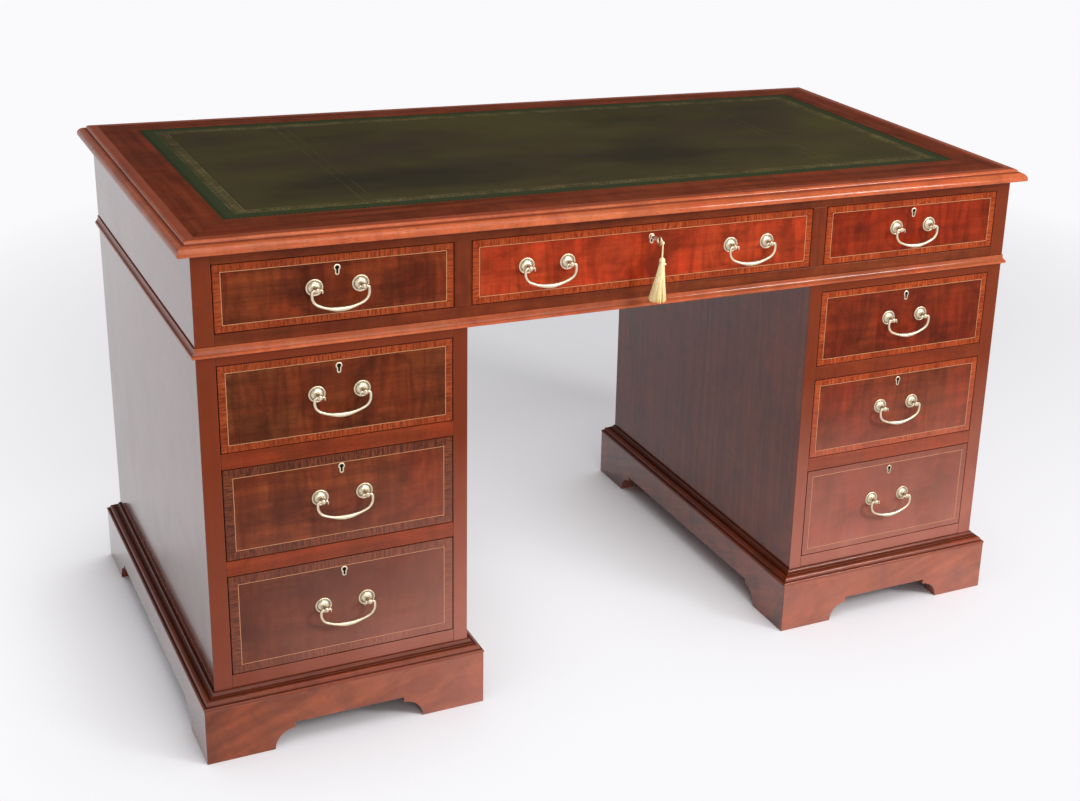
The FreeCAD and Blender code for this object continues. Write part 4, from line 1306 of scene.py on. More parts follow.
@dataclass
class Carcase:
    """The case under the top: frieze, pedestals, rails, runners, stops and the waist moulding."""

    rail_depth: float = 48 * MM
    frieze_back: float = 15 * MM
    pedestal_back: float = 12 * MM
    pedestal_top: float = 14.5 * MM
    bottom_board: float = 20 * MM
    lower_floor: float = 126.5 * MM
    runner_width: float = 20 * MM
    runner_height: float = 16 * MM
    partition: float = 26 * MM
    centre_half: float = 285 * MM
    waist_height: float = 14 * MM
    waist_projection: float = 5.6 * MM

    def frieze_sides(self) -> Surface:
        """The two ends of the frieze, their grain from front to back."""
        inner = CASE_HALF - OUTER_SIDE
        return joined([
            board((-CASE_HALF, FRONT, WAIST), (-inner, BACK, TOP_UNDERSIDE), Grain.DEEP),
            board((inner, FRONT, WAIST), (CASE_HALF, BACK, TOP_UNDERSIDE), Grain.DEEP),
        ])

    def frieze_rear(self) -> Surface:
        """The board across the back of the frieze."""
        inner = CASE_HALF - OUTER_SIDE
        return board((-inner, BACK - self.frieze_back, WAIST), (inner, BACK, TOP_UNDERSIDE), Grain.ALONG)

    def pedestal_panels(self, side: Side) -> Surface:
        """A pedestal's two sides, back, top and bottom.

        Args:
            side: left or right.

        Returns:
            The five boards.
        """
        left, start = PEDESTAL_LEFTS[side], OPENING_LEFTS[side]
        right, end = left + PEDESTAL_WIDTH, start + PEDESTAL_OPENING
        rear = BACK - self.pedestal_back
        top, floor = WAIST - self.pedestal_top, self.lower_floor
        return joined([
            board((left, FRONT, PLINTH_HEIGHT), (start, BACK, WAIST), Grain.UP),
            board((end, FRONT, PLINTH_HEIGHT), (right, BACK, WAIST), Grain.UP),
            board((start, rear, PLINTH_HEIGHT), (end, BACK, WAIST), Grain.UP),
            board((start, FRONT, top), (end, rear, WAIST), Grain.ALONG),
            board((start, FRONT, floor - self.bottom_board), (end, rear, floor), Grain.ALONG),
        ])

    def runners(self, openings: Sequence["Drawer"], rear: float) -> list[Surface]:
        """The strips that carry drawers.

        Args:
            openings: the drawers.
            rear: where the strips end.

        Returns:
            Two strips a drawer.
        """
        start = FRONT + self.rail_depth
        strips = []
        for drawer in openings:
            low, high = drawer.floor - self.runner_height, drawer.floor
            for left in (drawer.left, drawer.left + drawer.width - self.runner_width):
                strips.append(board((left, start, low), (left + self.runner_width, rear, high), Grain.DEEP))
        return strips

    def partitions(self) -> list[Surface]:
        """The upright boards behind the muntins."""
        start, rear = FRONT + self.rail_depth, BACK - self.frieze_back
        return [
            board((left, start, WAIST), (left + self.partition, rear, TOP_UNDERSIDE), Grain.DEEP)
            for left in (-self.centre_half - self.partition, self.centre_half)
        ]

    def waist_profile(self) -> Array:
        """The waist moulding from its foot out and up: a fillet under a cove."""
        out, fillet, neck, nosing, cove = self.waist_projection, 4 * MM, 1.4 * MM, 0.8 * MM, 9 * MM
        return np.vstack([
            [[0, 0]],
            arc((out - nosing, 0), (out, nosing), nosing, steps=3),
            arc((out, fillet), (neck, self.waist_height), cove, bulging=False, steps=10),
            [[neck, self.waist_height], [0, self.waist_height]],
        ])

    def make(self, bench: Bench, drawers: Sequence["Drawer"]) -> None:
        """Makes the pieces of the case.

        Args:
            bench: where pieces are made.
            drawers: the drawers that the runners and stops serve.
        """
        frieze = [drawer for drawer in drawers if drawer.row is Row.FRIEZE]
        lifted = [drawer for drawer in drawers if drawer.row in (Row.UPPER, Row.MIDDLE)]
        bench.piece("frieze_ends", self.frieze_sides(), PANEL_WOOD, nodes=["frieze_sides"])
        bench.piece("frieze_back_board", self.frieze_rear(), PANEL_WOOD, nodes=["frieze_back"])
        for side in PEDESTAL_LEFTS:
            name = f"pedestal_{side.value}"
            panels = self.pedestal_panels(side)
            bench.piece(f"{name}_boards", panels, PANEL_WOOD, nodes=[f"{name}_panels"])
        bench.softened("frieze_front_rails", "frieze_rails", CASE_WOOD, "case", bevel=0.7 * MM)
        bench.softened("pedestal_front_rails", "pedestal_drawer_rails", RAIL_WOOD, "case", bevel=0.7 * MM)
        frieze_strips = joined(self.runners(frieze, BACK - self.frieze_back) + self.partitions())
        bench.piece("frieze_runners", frieze_strips, DARK_WOOD, nodes=["frieze_drawer_runners"])
        strips = joined(self.runners(lifted, BACK - self.pedestal_back))
        bench.piece("pedestal_runners", strips, DARK_WOOD, nodes=["pedestal_drawer_runners"])
        stops = joined(stop for drawer in drawers for stop in drawer.stops())
        bench.piece("stop_blocks", stops, DARK_WOOD, nodes=["drawer_stops"])
        low, high = (-CASE_HALF, FRONT), (CASE_HALF, BACK)
        lengths = mould_round(self.waist_profile(), low, high, WAIST, bare=Side.BACK)
        bench.piece("waist_lengths", joined(lengths), MOULDING_WOOD, nodes=["waist_moulding"], smooth=35)


@dataclass
class Plinths:
    """The two plinths: bracket boards, the stepped moulding on them and the blocks in their corners."""

    projection: float = 19.7 * MM
    thickness: float = 28 * MM
    foot_span: float = 128.5 * MM
    shoulder: float = 30 * MM
    arch: float = 38.5 * MM
    block: float = 40 * MM
    block_lift: float = 14 * MM
    moulding_height: float = 19 * MM

    def bracket_outline(self, reach: float, opening: float) -> Array:
        """A bracket board's face from its left foot round: shoulders, steps and a level arch.

        Args:
            reach: half the board's length on this face.
            opening: half the length of the level arch.

        Returns:
            The outline, as x and z.
        """
        foot = opening + self.shoulder
        return np.vstack([
            [[-reach, 0]],
            arc((-foot, 0), (-opening, self.shoulder), self.shoulder, bulging=False, steps=16),
            [[-opening, self.shoulder], [-opening, self.arch], [opening, self.arch]],
            arc((opening, self.shoulder), (foot, 0), self.shoulder, bulging=False, steps=16),
            [[foot, 0], [reach, 0], [reach, PLINTH_HEIGHT], [-reach, PLINTH_HEIGHT]],
        ])

    def brackets(self, centre: Point) -> list[Surface]:
        """The four mitred boards of a plinth.

        Args:
            centre: the pedestal's middle, as x and y.

        Returns:
            One surface a side.
        """
        inset = self.thickness - self.projection
        boards = []
        for turns in range(4):
            half, away = PEDESTAL_HALVES[turns % 2], PEDESTAL_HALVES[(turns + 1) % 2]
            opening = half + self.projection - self.foot_span
            near = self.bracket_outline(half + self.projection, opening)
            far = self.bracket_outline(half - inset, opening)
            face = slab(near, far, -away - self.projection, -away + inset).timber(Grain.ALONG)
            boards.append(quarter_turned(face, turns, centre))
        return boards

    def profile(self) -> Array:
        """The moulding from its foot out and up: a bead, a fillet, an ovolo, a fillet and a cove."""
        out = self.projection
        bead, bead_radius, set_back, fillet = 5 * MM, 3.2 * MM, 2 * MM, 1.6 * MM
        rise, run, cove_rise, cove_run, cove_radius = 7 * MM, 6.5 * MM, 5 * MM, 5.5 * MM, 6 * MM
        ovolo = out - set_back - fillet
        shelf = (ovolo - run, bead + rise)
        cove = ovolo - run - fillet
        foot = bead + rise + fillet
        neck = (cove - cove_run, foot + cove_rise)
        return np.vstack([
            [[0, 0]],
            arc((out, 0), (out - set_back, bead), bead_radius),
            [[out - set_back, bead]],
            arc((ovolo, bead), shelf, rise),
            [shelf, (cove, bead + rise)],
            arc((cove, foot), neck, cove_radius, bulging=False),
            [neck, (neck[0], self.moulding_height), (0, self.moulding_height)],
        ])

    def blocks(self, centre: Point) -> list[Surface]:
        """The glue blocks in the corners of a plinth.

        Args:
            centre: the pedestal's middle, as x and y.

        Returns:
            Four blocks.
        """
        inset = self.thickness - self.projection
        corner = np.array(PEDESTAL_HALVES) - inset - self.block / 2
        blocks = []
        for signs in corners_of((-1, -1), (1, 1)):
            middle = np.array(centre) + corner * signs
            low, high = middle - self.block / 2, middle + self.block / 2
            blocks.append(board([*low, self.block_lift], [*high, PLINTH_HEIGHT], Grain.UP))
        return blocks

    def make(self, bench: Bench) -> None:
        """Makes the pieces of both plinths."""
        lengths, blocks = [], []
        for side, left in PEDESTAL_LEFTS.items():
            centre = (left + PEDESTAL_HALVES[0], MIDDLE)
            boards = joined(self.brackets(centre))
            name = f"plinth_{side.value}"
            bench.piece(f"{name}_brackets", boards, PLINTH_WOOD, nodes=[f"{name}_boards"], bevel=0.9 * MM)
            low, high = (left, FRONT), (left + PEDESTAL_WIDTH, BACK)
            lengths += mould_round(self.profile(), low, high, PLINTH_HEIGHT)
            blocks += self.blocks(centre)
        bench.piece("base_mouldings", joined(lengths), BASE_WOOD, nodes=["plinth_mouldings"], smooth=35)
        bench.piece("glue_blocks", joined(blocks), DARK_WOOD, nodes=["plinth_corner_blocks"])


# Drawers

class Row(Enum):
    """A row of drawers."""

    FRIEZE = "frieze"
    UPPER = "upper"
    MIDDLE = "middle"
    LOWER = "lower"

    @property
    def tails(self) -> int:
        """How many dovetails a drawer's side has."""
        return {Row.FRIEZE: 3, Row.UPPER: 4, Row.MIDDLE: 4, Row.LOWER: 5}[self]


@dataclass
class Handle:
    """A swan-neck bail between two posts on roses.

    The bail's line is a wide sweep, then on each side a shoulder, a bend, a pin and a tail that curls down.
    """

    half_centres: float = 32.25 * MM
    reach: float = 15 * MM
    arm_offset: float = 7.7 * MM
    drop: float = 29.5 * MM
    sweep: float = 70 * MM
    shoulder: float = 16 * MM
    bend: float = 3.5 * MM
    pin: float = 2.1 * MM
    grip: float = 3.7 * MM
    pin_reach: float = 5.4 * MM
    nut: float = 10 * MM
    nut_thickness: float = 3.5 * MM

    def rose_profile(self) -> Array:
        """Half a rose from its rim inwards: a round rim, a groove and a dome up to the post."""
        return np.vstack([
            [[0.1, 0], [12.4, 0]],
            arc((12.4, 0.5), (9.9, 1.5), 1.4, steps=8),
            [[9.6, 1.2], [9.2, 1.1]],
            arc((8.8, 1.3), (3.2, 4.6), 7, steps=10),
            [[3.0, 4.9], [0.1, 5]],
        ]) * MM

    def post_profile(self) -> Array:
        """Half a post from the rose outwards: a collar, a neck, a ball for the pin and a button."""
        ball = 4.55 * np.array([[math.sin(turn), -math.cos(turn)] for turn in np.linspace(0.7, 2.75, 14)])
        return np.vstack([
            [[0.1, 4.4], [3.9, 4.5], [4.1, 5.2], [3.8, 5.9], [2.7, 6.5], [2.4, 8.2], [2.6, 9.9], [3.2, 10.6]],
            [[3.0, 11.2]],
            ball + [0, 15],
            [[1.9, 19.3], [1.7, 19.7], [0.9, 19.9], [0.1, 19.95]],
        ]) * MM

    def bail_line(self) -> tuple[Array, Array]:
        """The bail's centre line and its radius at each point, from its left tail to its right one.

        Returns:
            The line as x and z about the middle of the pins, and the radii.
        """
        half = self.half_centres + self.arm_offset
        run = half - self.shoulder
        lean = math.asin(run / (self.sweep - self.shoulder))
        rise = (self.sweep - self.shoulder) * math.cos(lean)
        level = self.sweep - self.drop

        def swing(out: float, up: float, radius: float, start: float, end: float, steps: int) -> Array:
            """Points of an arc from one angle to another, 0 at its foot."""
            turn = np.linspace(start, end, steps)
            return np.stack([out + radius * np.sin(turn), up - radius * np.cos(turn)], axis=-1)

        right = math.pi / 2
        end_x = self.half_centres - self.pin_reach
        curl = 1.8 * MM
        parts = [
            swing(0, level, self.sweep, 0, lean, 16)[:-1],
            swing(run, level - rise, self.shoulder, lean, right, 10),
            swing(half - self.bend, -self.bend, self.bend, right, 2 * right, 8),
            swing(end_x, -curl, curl, 2 * right, 3 * right, 8),
            np.array([[end_x - curl, -curl - 2.8 * MM], [end_x - curl, -curl - 3.4 * MM]]),
        ]
        line = np.vstack(parts)
        swell = np.clip(np.linspace(0, 1.25, len(parts[0])), 0, 1)
        grip = self.pin + (self.grip - self.pin) * (0.5 + 0.5 * np.cos(math.pi * swell))
        taper = np.linspace(1.5 * MM, 1.1 * MM, len(parts[3]))
        plain = np.full(len(parts[1]) + len(parts[2]), self.pin)
        radii = np.concatenate([grip, plain, taper, [1.0 * MM, 0.5 * MM]])
        mirrored = line[:0:-1] * [-1, 1]
        return np.vstack([mirrored, line]), np.concatenate([radii[:0:-1], radii])

    def fixed(self, x: float, z: float) -> list[Surface]:
        """The roses, posts and nuts of a handle.

        Args:
            x, z: the middle of the handle.

        Returns:
            A rose, a post, a nut and its stem on each side.
        """
        pieces = []
        for side in (-1, 1):
            centre = (x + side * self.half_centres, FRONT, z)
            for profile in (self.rose_profile(), self.post_profile()):
                turning = lathe(profile, Grain.DEEP, centre, reach=-1)
                turning.hollow = hollows(profile).repeat(LATHE_SIDES)
                pieces.append(turning)
            start = FRONT + Drawer.front
            half = self.nut / 2
            low = (centre[0] - half, start, z - half)
            pieces.append(board(low, (centre[0] + half, start + self.nut_thickness, z + half), Grain.UP))
            stem = np.array([[0.1, -19], [2.6, -19], [2.6, -self.nut_thickness / MM - 24], [0.1, -28.4]]) * MM
            pieces.append(lathe(stem, Grain.DEEP, centre, 12, reach=-1))
        return pieces

    def bail(self, x: float, z: float) -> Surface:
        """The bail of a handle.

        Args:
            x, z: the middle of the pins.

        Returns:
            Its surface.
        """
        line, radii = self.bail_line()
        path = np.column_stack([x + line[:, 0], np.full(len(line), FRONT - self.reach), z + line[:, 1]])
        return tube(path, radii, (0, 1, 0))


def keyhole_outline(radius: float, half_leg: float, length: float) -> Array:
    """A keyhole: most of a circle, and a leg with a round foot below it.

    Args:
        radius: of the circle.
        half_leg: half the width of the leg.
        length: from the circle's middle to the foot.

    Returns:
        The outline as x and z, 30 points.
    """
    reach = math.acos(half_leg / radius)
    turn = np.linspace(-reach, math.pi + reach, 22)
    foot = np.linspace(math.pi, 2 * math.pi, 8)
    return np.vstack([
        radius * np.stack([np.cos(turn), np.sin(turn)], axis=-1),
        half_leg * np.stack([np.cos(foot), np.sin(foot)], axis=-1) + [0, half_leg - length],
    ])


@dataclass
class Drawer:
    """A drawer: its front, dovetailed box, brasses and bails.

    Fields:
        name: as in the frame's node names.
        row: the row that it is in.
        left, width, floor, height: the opening that it fills.
        rise: how far its handles sit above the middle.
        finish: the front's veneer.
        handles: the hand and the middle of each handle, from the middle of the drawer.
    """

    name: str
    row: Row
    left: float
    width: float
    floor: float
    height: float
    rise: float
    finish: Mahogany
    handles: Sequence[tuple[str, float]] = (("", 0.0),)
    gap: float = 1.2 * MM
    running: float = 0.3 * MM
    front: float = 20 * MM
    end: float = 284 * MM
    side: float = 10 * MM
    side_drop: float = 9 * MM
    bottom: float = 6 * MM
    bottom_lift: float = 9 * MM
    back: float = 9 * MM
    back_drop: float = 3 * MM
    tail: float = 14 * MM
    tail_half: float = 9.5 * MM
    root_half: float = 7.5 * MM
    keyhole_drop: float = 19 * MM

    @property
    def body(self) -> str:
        """The body that the drawer is."""
        return f"drawer_{self.name}"

    @property
    def middle(self) -> float:
        """The middle of the drawer across the front."""
        return self.left + self.width / 2

    @property
    def handle_height(self) -> float:
        """The height of the handles' posts."""
        return self.floor + self.height / 2 + self.rise

    @property
    def keyhole_height(self) -> float:
        """The height of the keyhole."""
        return self.floor + self.height - self.gap - self.keyhole_drop

    def side_board(self, left: float, low: float, high: float) -> Surface:
        """One side with its dovetails at the front end.

        Args:
            left: the side's left face.
            low, high: its bottom and top edge.

        Returns:
            The closed surface.
        """
        count = self.row.tails
        rear = FRONT + self.front
        middles = low + (high - low) * (np.arange(count) + 0.5) / count
        tail = np.array([
            [rear, -self.root_half],
            [rear - self.tail, -self.tail_half],
            [rear - self.tail, self.tail_half],
            [rear, self.root_half],
        ])
        tails = (tail[None] + np.stack([np.zeros(count), middles], axis=-1)[:, None]).reshape(-1, 2)
        outline = np.vstack([[[rear, low]], tails, [[rear, high], [self.end, high], [self.end, low]]])
        faces = [np.insert(outline, 0, x, axis=1) for x in (left, left + self.side)]
        return rings_surface(np.stack(faces)).outward().timber(Grain.DEEP)

    def box(self) -> Surface:
        """The two sides, the bottom and the back."""
        low, high = self.floor + self.running, self.floor + self.height - self.side_drop
        left, right = self.left + self.gap, self.left + self.width - self.gap
        inner_left, inner_right = left + self.side, right - self.side
        rear, panel = FRONT + self.front, low + self.bottom_lift
        base, top, arris = panel + self.bottom, high - self.back_drop, 0.3 * MM
        return joined([
            self.side_board(left, low, high),
            self.side_board(inner_right, low, high),
            board((inner_left, rear, panel), (inner_right, self.end, base), Grain.ALONG, arris),
            board((inner_left, self.end - self.back, base), (inner_right, self.end, top), Grain.ALONG, arris),
        ])

    def stops(self) -> list[Surface]:
        """The two blocks on the rail that stop the drawer."""
        start = FRONT + self.front + self.running
        half, depth, height = 20 * MM, 12 * MM, 6.5 * MM
        blocks = []
        for share in (0.25, 0.75):
            x = self.left + self.width * share
            low = (x - half, start, self.floor)
            blocks.append(board(low, (x + half, start + depth, self.floor + height), Grain.ALONG))
        return blocks

    def escutcheon(self) -> Surface:
        """The raised outline of the keyhole: its outer and inner outline on the face and 0.8 mm out."""
        outer = keyhole_outline(4.8 * MM, 3.1 * MM, 11 * MM)
        lip = keyhole_outline(4.5 * MM, 2.8 * MM, 10.7 * MM)
        inner = keyhole_outline(*KEYHOLE)
        face, proud = FRONT, FRONT - 0.8 * MM
        order = ((outer, face), (outer, proud + 0.2 * MM), (lip, proud), (inner, proud), (inner, face))
        rings = np.stack([np.insert(outline, 1, y, axis=1) for outline, y in order])
        rings = rings + [self.middle, 0, self.keyhole_height]
        quads = grid_quads(len(order), rings.shape[1], round_columns=True, round_rows=True)
        return Surface(rings.reshape(-1, 3), quads).outward()

    def lock(self) -> Surface:
        """The lock's case, let into the back of the front, with a slot for its bolt in its top."""
        half_width, half_depth, height = 28 * MM, 7 * MM, 32 * MM
        slot_inset, slot_half_width, slot_half_depth, slot_height = 4 * MM, 11.3 * MM, 2.3 * MM, 18.6 * MM
        top = self.keyhole_height + self.keyhole_drop
        corners = corners_of((-1, -1), (1, 1))
        rear = np.array([self.middle, FRONT + self.front])
        case = rear + [0, -half_depth] + corners * [half_width, half_depth]
        slot = rear + [0, -slot_inset] + corners * [slot_half_width, slot_half_depth]
        rings = ((case, top - height), (case, top), (slot, top), (slot, top - slot_height))
        return rings_surface(np.stack([np.insert(ring, 2, z, axis=1) for ring, z in rings])).outward()

    def make(self, bench: Bench, handle: Handle) -> None:
        """Makes the drawer's pieces.

        Args:
            bench: where pieces are made.
            handle: the pattern of its handles.
        """
        name = self.name
        bench.softened(f"veneered_front_{name}", f"front_{name}", self.finish, self.body, bevel=0.9 * MM)
        box = self.box()
        bench.piece(f"dovetailed_box_{name}", box, LINING_WOOD, self.body, [f"box_{name}"], bevel=0.3 * MM)
        fittings = [self.escutcheon(), self.lock()]
        for hand, offset in self.handles:
            x = self.middle + offset
            fittings += handle.fixed(x, self.handle_height)
            bail = f"{name}_{hand}" if hand else name
            swan_neck = handle.bail(x, self.handle_height)
            bench.piece(f"swan_neck_{bail}", swan_neck, BRASS, f"bail_{bail}", [f"bail_{bail}"], smooth=50)
        bench.piece(f"fittings_{name}", joined(fittings), BRASS, self.body, [f"brasses_{name}"], smooth=40)
        # A dark sheet at the keyhole, at the face of the front: painted shade.
        dark = keyhole_outline(*KEYHOLE) + [self.middle, self.keyhole_height]
        shade = slab(dark, dark, FRONT - 0.15 * MM, FRONT + 0.3 * MM)
        bench.piece(f"keyhole_{name}", shade, KEYHOLE_SHADE, self.body)


@dataclass(frozen=True)
class Veneer:
    """One front: the screen colours of its stripes, its mottle and its band, and the band's width."""

    wood: tuple[Colour, Colour, Colour]
    band: tuple[Colour, Colour]
    width: float = 10 * MM


ORANGE_BAND = ((184, 82, 37), (122, 42, 17))
BROWN_BAND = ((126, 66, 40), (66, 32, 24))
RED_BAND = ((172, 78, 38), (114, 44, 19))
DULL_BAND = ((124, 58, 35), (88, 41, 25))
VENEERS = {
    "frieze_left": Veneer(((138, 64, 30), (96, 42, 19), (66, 23, 9)), RED_BAND),
    "frieze_centre": Veneer(((194, 72, 34), (150, 49, 20), (102, 32, 12)), ORANGE_BAND),
    "frieze_right": Veneer(((158, 52, 20), (120, 37, 13), (84, 23, 8)), ORANGE_BAND),
    "left_upper": Veneer(((124, 62, 30), (88, 42, 19), (60, 24, 10)), RED_BAND),
    "left_middle": Veneer(((140, 66, 32), (98, 45, 22), (66, 26, 12)), BROWN_BAND, 13 * MM),
    "left_lower": Veneer(((99, 48, 28), (73, 36, 21), (53, 24, 14)), BROWN_BAND, 13 * MM),
    "right_upper": Veneer(((142, 55, 25), (102, 38, 16), (70, 24, 10)), ORANGE_BAND),
    "right_middle": Veneer(((142, 61, 29), (104, 45, 21), (71, 28, 14)), ORANGE_BAND),
    "right_lower": Veneer(((130, 55, 29), (96, 42, 21), (67, 28, 14)), DULL_BAND),
}


def front_finish(name: str, left: float, width: float, floor: float, height: float) -> Mahogany:
    """The veneer of a drawer's front.

    Args:
        name: the drawer's name.
        left, width, floor, height: its opening.

    Returns:
        The finish.
    """
    veneer, gap = VENEERS[name], Drawer.gap
    centre = (left + width / 2, FRONT, floor + height / 2)
    inlay = Inlay(centre, width / 2 - gap, height / 2 - gap, *veneer.band, veneer.width)
    figure = {"mottle": 0.8, "ripple": 0.6, "flush": 0.55, "specular": 0.08}
    return Mahogany(f"veneer_{name}", "mahogany_veneer", *veneer.wood, **figure, inlay=inlay)


def all_drawers() -> list[Drawer]:
    """The nine drawers, row by row."""
    end, muntin, centre = 337 * MM, 26 * MM, 570 * MM
    frieze_rise, pedestal_rise = 3 * MM, 6 * MM
    hands = (("left", -169 * MM), ("right", 169 * MM))
    frieze = {
        "frieze_left": (-CASE_HALF + OUTER_SIDE, end, Drawer.handles),
        "frieze_centre": (-centre / 2, centre, hands),
        "frieze_right": (centre / 2 + muntin, end, Drawer.handles),
    }
    drawers = []
    for name, (left, width, handles) in frieze.items():
        place = (left, width, FRIEZE_FLOOR, FRIEZE_OPENING)
        finish = front_finish(name, *place)
        drawers.append(Drawer(name, Row.FRIEZE, *place, frieze_rise, finish, handles))
    floors = {
        Row.UPPER: (472 * MM, 129 * MM),
        Row.MIDDLE: (308 * MM, 140.5 * MM),
        Row.LOWER: (126.5 * MM, 158 * MM),
    }
    for side, left in OPENING_LEFTS.items():
        for row, (floor, height) in floors.items():
            name = f"{side.value}_{row.value}"
            place = (left, PEDESTAL_OPENING, floor, height)
            drawers.append(Drawer(name, row, *place, pedestal_rise, front_finish(name, *place)))
    return drawers


@dataclass
class KeyAndTassel:
    """The key in the centre drawer's lock, the bolt that it throws, and the tassel that hangs on its bow."""

    axis: float = 723.3 * MM
    depth: float = 12.4 * MM
    reach: float = 34 * MM
    bow: float = 8 * MM
    bow_bar: float = 1.6 * MM
    knot: float = 2.6 * MM
    cord: float = 1.2 * MM
    cord_length: float = 32 * MM
    cord_shown: float = 20 * MM
    head: float = 4.6 * MM
    head_length: float = 9 * MM
    neck: float = 3.6 * MM
    skirt: float = 14.5 * MM
    skirt_length: float = 58.5 * MM
    lean: float = 5.5 * MM
    threads: int = 340

    @property
    def hang(self) -> float:
        """How far in front the tassel hangs."""
        return FRONT - self.reach - 0.3 * MM - self.knot

    @property
    def cord_top(self) -> float:
        """The height of the cord's upper end, under the knot."""
        return self.axis - self.knot

    @property
    def neck_height(self) -> float:
        """The height of the neck between the tassel's head and skirt."""
        return self.cord_top - self.cord_shown - self.head_length

    def key(self) -> Surface:
        """A barrel with collars, a ring bow and a plain bit."""
        bow_y = FRONT - self.reach + self.bow
        barrel = np.array([
            [0.1, -12.4], [1.9, -12.4], [2.2, -12], [2.2, 2.2], [3.6, 2.6], [3.9, 3.3], [3.6, 4], [2.4, 4.5],
            [2.2, 9], [2.5, 13.2], [3.3, 13.7], [3.5, 14.3], [3.1, 15], [2.6, 15.6], [2.9, 16.4], [2.2, 17.6],
            [1.7, 19.4], [0.1, 19.8],
        ]) * MM
        shank = lathe(barrel, Grain.DEEP, (0, FRONT, self.axis), 20, reach=-1)
        steps = 40
        turn = np.linspace(0, 2 * math.pi, steps, endpoint=False)
        ring = (self.bow - self.bow_bar) * np.stack([np.zeros(steps), np.cos(turn), np.sin(turn)], axis=-1)
        bow = tube(ring + [0, bow_y, self.axis], np.full(steps, self.bow_bar), (1, 0, 0), 12, closed=True)
        end = FRONT + self.depth
        half_width, length, foot, top = 1.1 * MM, 5 * MM, 7.4 * MM, 1 * MM
        low = (-half_width, end - length, self.axis - foot)
        bit = board(low, (half_width, end, self.axis - top), Grain.UP, 0.3 * MM)
        return joined([shank, bow, bit])

    def bolt(self) -> Surface:
        """The lock's bolt at rest, just below the top edge of the front."""
        half_width, thickness, height, inset, sunk = 11 * MM, 4 * MM, 18 * MM, 14 * MM, 1.5 * MM
        top, start = FRIEZE_FLOOR + FRIEZE_OPENING - sunk, FRONT + inset
        low = (-half_width, start, top - height)
        return board(low, (half_width, start + thickness, top), Grain.UP, 0.4 * MM)

    def hitch(self) -> Surface:
        """The loop of cord through the bow, level, round the front of its ring."""
        steps, half_width, half_depth, lift, radius = 28, 2.5 * MM, 2.9 * MM, 0.5 * MM, 0.85 * MM
        turn = np.linspace(0, 2 * math.pi, steps, endpoint=False)
        loop = [half_width * np.sin(turn), half_depth * np.cos(turn), lift * np.sin(2 * turn)]
        centre = np.array([0, FRONT - self.reach + 0.9 * MM, self.axis])
        return tube(np.stack(loop, axis=-1) + centre, np.full(steps, radius), (0, 0, 1), 10, closed=True)

    def skirt_threads(self) -> Surface:
        """The threads of the skirt.

        Each starts on the neck at a share of its radius, spreads with the power 1.15 of the way down, leans
        and waves a little to both sides and ends a little short. It is a four-sided bar.
        """
        rng = np.random.default_rng(5)
        count, stations = self.threads, 12
        spin = rng.uniform(0, 2 * math.pi, count)
        share = np.sqrt(rng.uniform(0.2, 1, count))
        length = self.skirt_length * rng.uniform(0.93, 0.995, count)
        phase = rng.uniform(0, 2 * math.pi, count)
        wave = rng.uniform(0.2, 0.9, count) * MM
        way = np.linspace(0, 1, stations)[None]
        out = share[:, None] * (self.neck + (self.skirt - self.neck - 1.5 * MM) * way**1.15)
        sway = wave[:, None] * np.sin(way * 7 + phase[:, None]) * way
        angle = spin[:, None] + 0.12 * np.sin(way * 3 + phase[:, None])
        line = np.stack([
            out * np.cos(angle) - sway * np.sin(angle) - self.lean * way,
            out * np.sin(angle) + sway * np.cos(angle) + self.hang,
            self.neck_height - length[:, None] * way,
        ], axis=-1)
        corner = np.array([[1, 0, 0], [0, 1, 0], [-1, 0, 0], [0, -1, 0]])
        thick = 0.75 * MM * np.where(way > 0.96, 0.6, 1.0)
        rings = line[:, :, None] + thick[:, :, None, None] * corner
        quads = grid_quads(stations, 4, round_columns=True)
        per = stations * 4
        starts = np.arange(count)[:, None, None] * per
        ends = np.array([[3, 2, 1, 0], [per - 4, per - 3, per - 2, per - 1]])
        faces = np.concatenate([quads, ends])[None] + starts
        return Surface(rings.reshape(-1, 3), faces.reshape(-1, 4)).outward()

    def tassel(self) -> Surface:
        """The knot on the bow, the wound head, the band at its neck, a small knot beside it and the skirt."""
        top = self.cord_top - self.cord_shown
        turn = np.linspace(0, math.pi, 16)
        ridge = 1 + 0.05 * np.cos(np.linspace(0, 14 * math.pi, 15))
        rise = np.linspace(0, 1, 15)
        swell = np.sin(math.pi * (0.16 + 0.72 * rise)) ** 0.8
        head = np.column_stack([self.head * swell * ridge, self.head_length * rise - self.head_length])
        head = np.vstack([[[0.1 * MM, -self.head_length]], head, [[0.1 * MM, 0]]])
        ball = self.knot * np.column_stack([np.maximum(np.sin(turn), 0.04), -np.cos(turn)])
        band = np.array([
            [0.1, -1.8], [3.6, -1.7], [4.1, -1.1], [4.2, 0], [4.1, 1.1], [3.6, 1.7], [0.1, 1.8],
        ]) * MM
        return joined([
            lathe(ball, Grain.UP, (0, self.hang, self.axis), 16),
            lathe(head, Grain.UP, (0, self.hang, top), 24),
            lathe(band, Grain.UP, (0, self.hang, self.neck_height), 24),
            lathe(0.75 * ball, Grain.UP, (4.4 * MM, self.hang - 1.5 * MM, self.neck_height - 1 * MM), 14),
            self.skirt_threads(),
        ])

